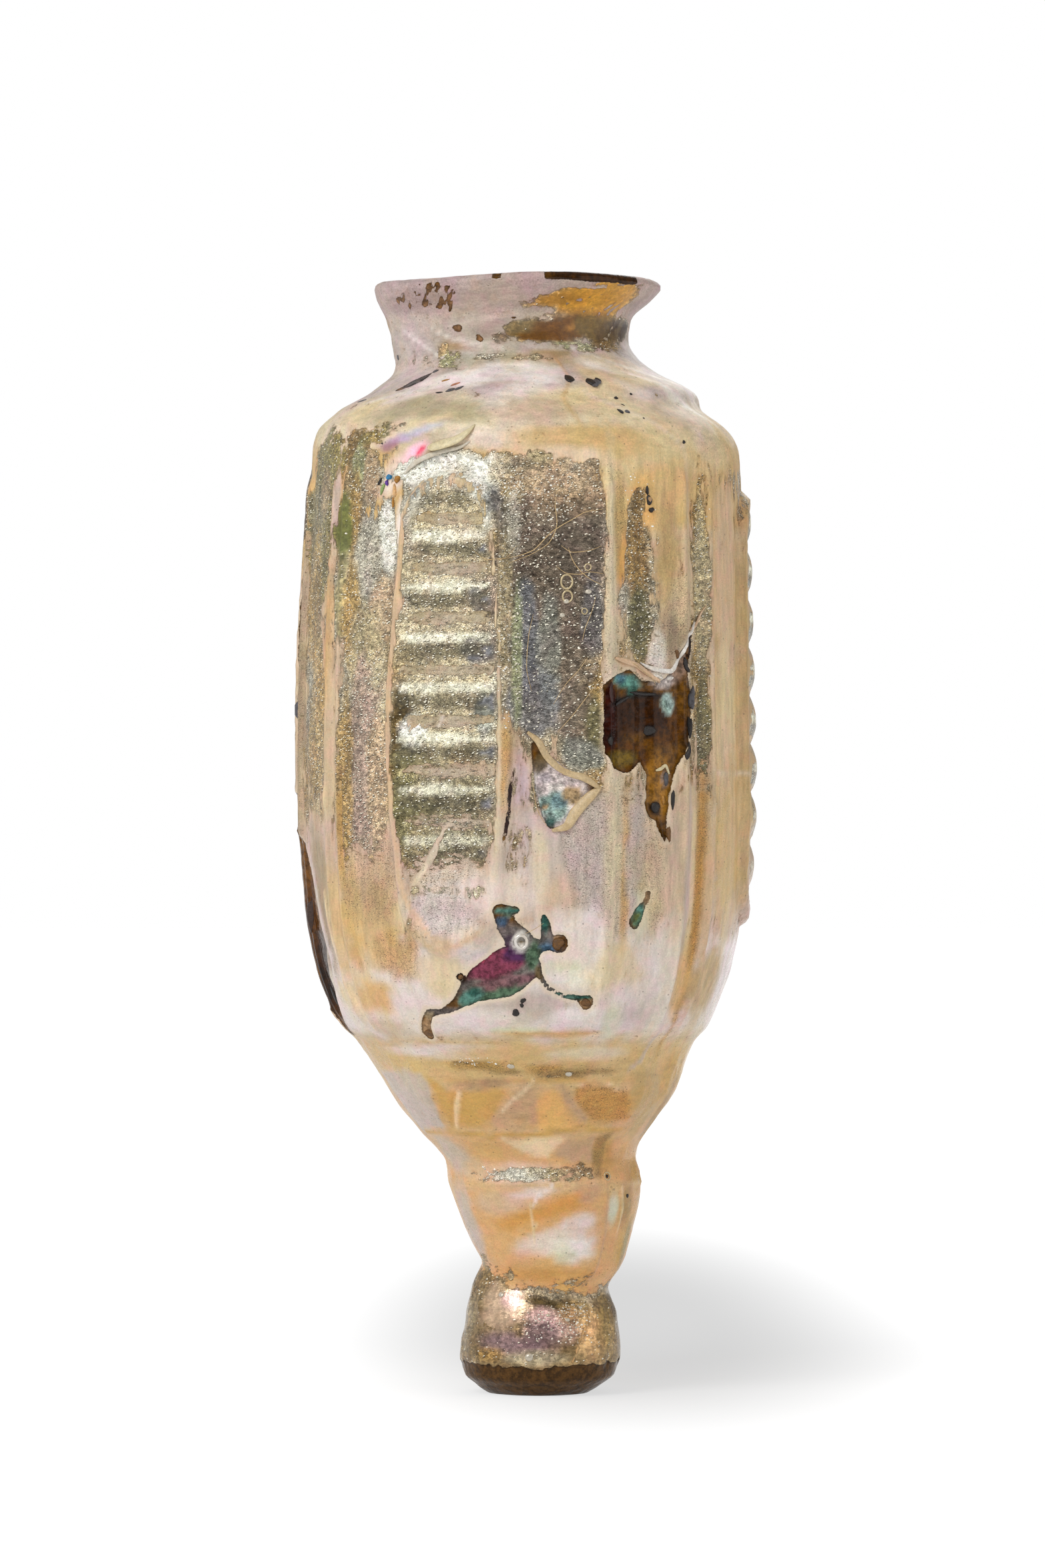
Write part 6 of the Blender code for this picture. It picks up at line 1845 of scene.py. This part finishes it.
    def height(self):
        """The foil's blisters, weaker under the veil, the grain, the veil's streaks and the flecks."""
        net, spot, covered = self.net, self.spot, self.covered
        height = net.times(self.blisters["Height"], net.smooth(self.beads, 0.0, 1.0, 0.05, 0.55))
        height = net.between(covered, height, net.times_plus(height, 0.22, 0.35))
        grain = net.times(net.cloud(spot, 0.5, 4.0, 0.6), net.between(covered, 0.34, 0.22))
        lines = net.times(self.drawn, covered, net.between(self.pearly, 0.55, 0.30))
        height = net.minus(net.plus(height, grain, lines), net.times(self.flecks, 0.25))
        glass = net.times(net.cloud(spot, 1.2, 3.0, 0.5), 0.9)
        return net.between(self.edge["Mask"], height, glass)


def flask_material(colours):
    """Glass under a blistered foil, a pale veil with ragged edges over that, and frayed holes that
    show the bare glass or its iridescent film."""
    material, net, shader = new_material("weathered_glass")
    surface = FlaskSurface(net, colours)
    # the export keeps only this value
    shader["Specular IOR Level"].default_value = CRUST_SPECULAR  # the crust's level is also the socket's own value
    net.fill(shader, {
        "Base Color": surface.colour(), "Metallic": surface.metallic(), "Roughness": surface.roughness(),
        "Specular IOR Level": net.between(surface.bare, CRUST_SPECULAR, GLASS_SPECULAR),
        "Normal": net.bump(0.20, surface.height()),
        "Coat Weight": 0.14, "Coat Roughness": 0.12, "IOR": 1.5})
    return material


def speck_material(name, roughness, contrast, grain, metallic=0.0):
    """Material of the small pieces: each one's own tone, mottled and pitted, over a grainy bump."""
    material, net, shader = new_material(name)
    spot = net.millimetres()
    mottle = net.smooth(net.cloud(spot, 0.35, 5.0, 0.7), 0.30, 0.70, 1.0 - contrast, 1.0 + contrast)
    stain = net.smooth(net.cloud(spot, 0.9, 2.0), 0.45, 0.65, 0.0, 0.4)
    tone = net.tint(net.attribute("tone")["Color"], STAIN_TINT, stain)
    uneven = net.smooth(net.cloud(spot, 0.3, 3.0), 0.3, 0.7, roughness - 0.08, roughness + 0.12)
    net.fill(shader, {
        "Base Color": net.tint(tone, net.grey(mottle)), "Roughness": uneven, "Metallic": metallic,
        "Normal": net.bump(grain, net.cloud(spot, 0.22, 4.0, 0.65))})
    return material


def floor_material(settings):
    """White to the camera but for a share of the cast shadow and a soft shadow painted into its glow beside
    the glass; to the glass, a floor whose own glow is weaker round the foot."""
    material, net, shader = new_material("pale_floor")
    spot = net.put("TexCoord")["Object"]
    seen = net.put("LightPath")["Is Camera Ray"]
    x, y, _ = net.parts(net.vector("SUBTRACT", spot, (SHADE_AT[0] * UNIT, SHADE_AT[1] * UNIT, 0.0)))
    along = net.calc("MAXIMUM", net.calc("DIVIDE", y, SHADE_BACK * UNIT),
                     net.calc("DIVIDE", y, -SHADE_REACH[1] * UNIT))
    across = net.calc("DIVIDE", x, SHADE_REACH[0] * UNIT)
    aside = net.length(net.put("CombineXYZ", {0: across, 1: along})[0])
    lit = net.smooth(net.length(spot), *GLOW_FADE, settings.floor_glow, 1.0)
    bounce = net.times(lit, settings.floor_seen)
    # To the camera the glow holds the painted soft shadow behind the glass
    glow = net.between(seen, bounce, net.smooth(aside, *SHADE_FADE, settings.shade, 1.0))
    dim = [settings.floor_seen * part for part in settings.floor]
    net.fill(shader, {
        "Base Color": net.blend(seen, rgba(dim), rgba([settings.floor_soft] * 3)),
        "Emission Color": net.grey(glow), "Emission Strength": 1.0, "Roughness": 0.9,
        "Specular IOR Level": 0.0})
    return material


def room_world(settings):
    """White to the camera; to the glass, a pale room that is dim behind the camera."""
    world = bpy.data.worlds.new("room")
    world.use_nodes = True
    world.node_tree.nodes.clear()
    net = Nodes(world.node_tree)
    x, y, z = net.parts(net.put("TexCoord")["Generated"])
    ahead = net.times_plus(x, 0.25, net.times(y, -0.97))
    high = net.times(net.calc("MAXIMUM", z, 0.0), 0.5)
    dark = net.smooth(net.minus(ahead, high), 0.35, 0.75)
    above = net.smooth(z, 0.0, 0.9, 0.60, 0.95)
    side = net.smooth(x, -0.9, 0.9, 1.25, 0.75)
    level = net.times(above, side, settings.room, net.between(dark, 1.0, 0.40))
    seen = net.put("LightPath")["Is Camera Ray"]
    background = net.put("Background", {0: rgba((1.0, 1.0, 1.0)), 1: net.between(seen, level, 1.0)})
    net.put("OutputWorld", {0: background[0]})
    return world


# ---- Settings --------------------------------------------------------------

def number_setting(name, description, default, **kind):
    """A number that a user may change."""
    return bpy.props.FloatProperty(name=name, description=description, default=default, **kind)


def length_setting(name, description, default):
    """A length that a user may change, in metres."""
    return number_setting(name, description, default, min=0.0, precision=5, subtype="DISTANCE",
                          unit="LENGTH")


def colour_setting(name, description, default):
    """A colour that a user may change."""
    return bpy.props.FloatVectorProperty(name=name, description=description, default=default, size=3,
                                         min=0.0, max=4.0, subtype="COLOR")


class FlaskRelief(bpy.types.PropertyGroup):
    """How strong the relief of the weathered surface is."""

    unevenness: length_setting("Unevenness", "How far the hand-blown wall wanders", 0.18 * UNIT)
    crust: length_setting("Crust", "Height of the crust's waves and grain", 0.07 * UNIT)
    streaks: length_setting("Streaks", "Depth of the upright drawing lines", 0.07 * UNIT)
    folds: length_setting("Folds", "Height of the funnel's and the knob's folds", 0.14 * UNIT)
    crinkle: length_setting("Crinkle", "Height of the crinkled foil on the knob", 0.16 * UNIT)


class FlaskColours(bpy.types.PropertyGroup):
    """Colours that the whole surface shares."""

    # Glint is the colour of the painted highlights on the beads; gap shade that of the painted shade in the
    # creases and under the beads
    glint: colour_setting("Glint", "Brightest scales of the crust", (1.0, 0.95, 0.78))
    gap_shade: colour_setting("Gap shade", "Darkening between the scales", (0.26, 0.23, 0.17))
    pit: colour_setting("Pit", "Small pits in the crust", (0.085, 0.060, 0.032))
    hem: colour_setting("Hem", "Tint of the veil along its edges", (0.80, 0.62, 0.42))
    veil_cool: colour_setting("Cool veil", "Tint of the veil's cooler places", (1.02, 0.98, 1.04))
    veil_warm: colour_setting("Warm veil", "Tint of the veil's warmer places", (1.02, 1.0, 0.92))
    pale_edge: colour_setting("Pale edge", "Broken edge of the crust", (0.76, 0.62, 0.45))


class FlaskStage(bpy.types.PropertyGroup):
    """The floor, the light and the camera."""

    floor: colour_setting("Floor", "Colour of the floor", (0.80, 0.80, 0.80))
    floor_glow: number_setting("Floor glow", "Light that the floor gives off by itself", 0.30)
    floor_seen: number_setting("Floor bounce", "Share of the floor's light that reaches the glass", 0.85)
    floor_soft: number_setting("Shadow depth", "How much of the cast shadow the camera sees", 0.18)
    # Shade sets the floor's painted soft shadow behind the glass
    shade: number_setting("Shade", "Brightness of the floor in the soft shade behind the glass", 0.54)
    floor_size: length_setting("Floor size", "Radius of the round floor", 6.0)
    key_power: number_setting("Key light", "Power of the key light", 5.4, unit="POWER")
    fill_power: number_setting("Fill light", "Power of the fill light", 1.8, unit="POWER")
    room: number_setting("Room light", "Brightness of the room all round", 0.58)
    lens: number_setting("Lens", "Focal length of the camera", 145.65, unit="CAMERA")


class Measure:
    """The relief settings in the tables' millimetres."""

    def __init__(self, context):
        relief = context.scene.flask_relief
        for name in FlaskRelief.__annotations__:
            setattr(self, name, getattr(relief, name) / UNIT)


# ---- Operators -------------------------------------------------------------

def area_light(name, place_at, size, power):
    """A rectangular softbox that looks at the flask's middle."""
    data = bpy.data.lights.new(name, "AREA")
    data.shape = "RECTANGLE"
    data.size, data.size_y = size
    data.energy = power
    light = add_object(name, data)
    light.location = place_at
    light.rotation_euler = Vector(LIGHT_AIM - np.array(place_at)).to_track_quat("-Z", "Y").to_euler()


class FLASK_OT_stage(bpy.types.Operator):
    """Add the camera, the pale floor and the soft studio light"""

    bl_idname = "flask.stage"
    bl_label = "Add Stage"

    def execute(self, context):
        scene, settings = context.scene, context.scene.flask_stage
        camera = add_object("camera", bpy.data.cameras.new("camera"))
        camera.data.lens, camera.data.sensor_width = settings.lens, SENSOR
        camera.data.clip_start, camera.data.clip_end = SIGHT
        camera.location = CAMERA_AT
        camera.rotation_euler = (np.radians(90.0 + CAMERA_PITCH), 0.0, 0.0)
        scene.camera = camera
        scene.view_settings.view_transform = "Standard"

        turned = np.linspace(0.0, 2.0 * np.pi, FLOOR_CORNERS, endpoint=False)
        rim = settings.floor_size * np.stack([np.cos(turned), np.sin(turned), 0.0 * turned], axis=1)
        mesh = bpy.data.meshes.new("floor")
        mesh.from_pydata(rim + (0.0, 0.0, LOW[2]), [], [list(range(FLOOR_CORNERS))])
        mesh.materials.append(floor_material(settings))
        add_object("floor", mesh)
        for name, place_at, size, power in LIGHTS:
            area_light(name, place_at, size, getattr(settings, power))
        scene.world = room_world(settings)
        return {"FINISHED"}


class FLASK_OT_vessel(bpy.types.Operator):
    """Add the flask with its weathered surface, in place of the plain solid"""

    bl_idname = "flask.vessel"
    bl_label = "Add Flask"

    def execute(self, context):
        mesh = flask_mesh(Measure(context))
        mesh.materials.append(flask_material(context.scene.flask_colours))
        flask = add_object("weathered_flask", mesh)
        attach(flask, BODY)
        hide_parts(NODE)
        return {"FINISHED"}


class FLASK_OT_soil(bpy.types.Operator):
    """Add the crumbs of soil and dark crust, the blue drop and the coloured flakes"""

    bl_idname = "flask.soil"
    bl_label = "Add Soil"

    def execute(self, context):
        stacks = lumps([row[:6] for row in SOIL], Measure(context), rows=9, columns=14, seed=31)
        material = speck_material("soil", roughness=0.38, contrast=0.35, grain=0.10)
        add_piece("soil_crumbs", stacks, [row[6] for row in SOIL], material)
        return {"FINISHED"}


class FLASK_OT_curls(bpy.types.Operator):
    """Add the strips of veil that curl off the foil"""

    bl_idname = "flask.curls"
    bl_label = "Add Curls"

    def execute(self, context):
        relief = Measure(context)
        stacks = []
        for half_w, thickness, stand, twist, _, points in CURLS:
            angle, z, share = along(points, CURL_STEPS)
            middle = on_glass(angle, z, stand * share, relief)
            stacks.append(tube(middle, half_w * share, thickness * np.sqrt(share), 14, twist))
        material = speck_material("curled_veil", roughness=0.34, contrast=0.16, grain=0.05)
        add_piece("veil_curls", stacks, [row[4] for row in CURLS], material)
        return {"FINISHED"}


class FLASK_OT_threads(bpy.types.Operator):
    """Add the fine root threads that stick to the foil"""

    bl_idname = "flask.threads"
    bl_label = "Add Threads"

    def execute(self, context):
        relief = Measure(context)
        taper = 0.35 + 0.65 * np.sin(np.linspace(0.1, np.pi - 0.1, THREAD_STEPS))
        stacks = []
        for half_w, points in THREADS:
            middle = on_glass(*along(points, THREAD_STEPS), relief)
            stacks.append(tube(middle, half_w * taper, half_w * taper, 6))
        material = speck_material("root_thread", roughness=0.45, contrast=0.20, grain=0.01)
        add_piece("root_threads", stacks, ["thread"] * len(stacks), material)
        return {"FINISHED"}


class FLASK_OT_beads(bpy.types.Operator):
    """Add the larger blisters, rings and strewn beads of the foil"""

    bl_idname = "flask.beads"
    bl_label = "Add Beads"

    def execute(self, context):
        relief = Measure(context)
        material = speck_material("foil_bead", roughness=0.18, contrast=0.06, grain=0.01, metallic=0.25)
        chance = np.random.default_rng(STREWN_SEED)
        shapes = []
        for angle, z, half_w, half_h, count in STREWN:
            across, up = chance.uniform(-1.0, 1.0, (2, count))
            size = BEAD_R[0] + (BEAD_R[1] - BEAD_R[0]) * chance.uniform(0.0, 1.0, count) ** 2
            at_angle, at_z = beside(angle, z, half_w * across, half_h * up)
            shapes += zip(at_angle, at_z, 1.3 * size, size, 0.7 * size, 0.0 * size)
        tones = [BEAD_TONES[k % len(BEAD_TONES)] for k in range(len(shapes))]
        stacks = lumps(shapes, relief, rows=5, columns=8, seed=43, unevenness=0.08)
        add_piece("strewn_beads", stacks, tones, material)
        shapes = [row + (0.0,) for row in BLISTERS]
        stacks = lumps(shapes, relief, rows=9, columns=20, seed=47, unevenness=0.02)
        add_piece("foil_blisters", stacks, ["silver"] * len(stacks), material)
        turned = 2.0 * np.pi * np.arange(RING_STEPS) / RING_STEPS
        rings = []
        for angle, z, half_w, half_h, thick in RINGS:
            at_angle, at_z = beside(angle, z, half_w * np.cos(turned), half_h * np.sin(turned))
            size = np.full(RING_STEPS, 0.5 * thick)
            rings.append(tube(on_glass(at_angle, at_z, 0.05, relief), size, size, 8, closed=True))
        tones = ["silver_gold"] * (len(rings) - 1) + ["ring_white"]
        add_piece("foil_rings", rings, tones, material, wrapped=True)
        return {"FINISHED"}


class FLASK_PT_panel(bpy.types.Panel):
    """The flask's settings and pieces"""

    bl_label = "Weathered Flask"
    bl_space_type = "VIEW_3D"
    bl_region_type = "UI"
    bl_category = "Flask"

    def draw(self, context):
        for group in ("flask_relief", "flask_colours", "flask_stage"):
            settings = getattr(context.scene, group)
            box = self.layout.box()
            for name in settings.__annotations__:
                box.prop(settings, name)
        for kind in OPERATORS:
            self.layout.operator(kind.bl_idname)


OPERATORS = (FLASK_OT_stage, FLASK_OT_vessel, FLASK_OT_soil, FLASK_OT_curls, FLASK_OT_threads,
             FLASK_OT_beads)
GROUPS = (("flask_relief", FlaskRelief), ("flask_colours", FlaskColours), ("flask_stage", FlaskStage))


def register():
    """Register the classes and hang the settings on the scene."""
    for kind in [kind for _, kind in GROUPS] + list(OPERATORS) + [FLASK_PT_panel]:
        bpy.utils.register_class(kind)
    for name, kind in GROUPS:
        setattr(bpy.types.Scene, name, bpy.props.PointerProperty(type=kind))


def unregister():
    """Undo register."""
    for name, _ in GROUPS:
        delattr(bpy.types.Scene, name)
    for kind in [FLASK_PT_panel] + list(OPERATORS)[::-1] + [kind for _, kind in GROUPS]:
        bpy.utils.unregister_class(kind)


def main():
    """Register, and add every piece."""
    register()
    bpy.ops.flask.stage()
    bpy.ops.flask.vessel()
    bpy.ops.flask.soil()
    bpy.ops.flask.curls()
    bpy.ops.flask.threads()
    bpy.ops.flask.beads()


if __name__ == "__main__":
    main()
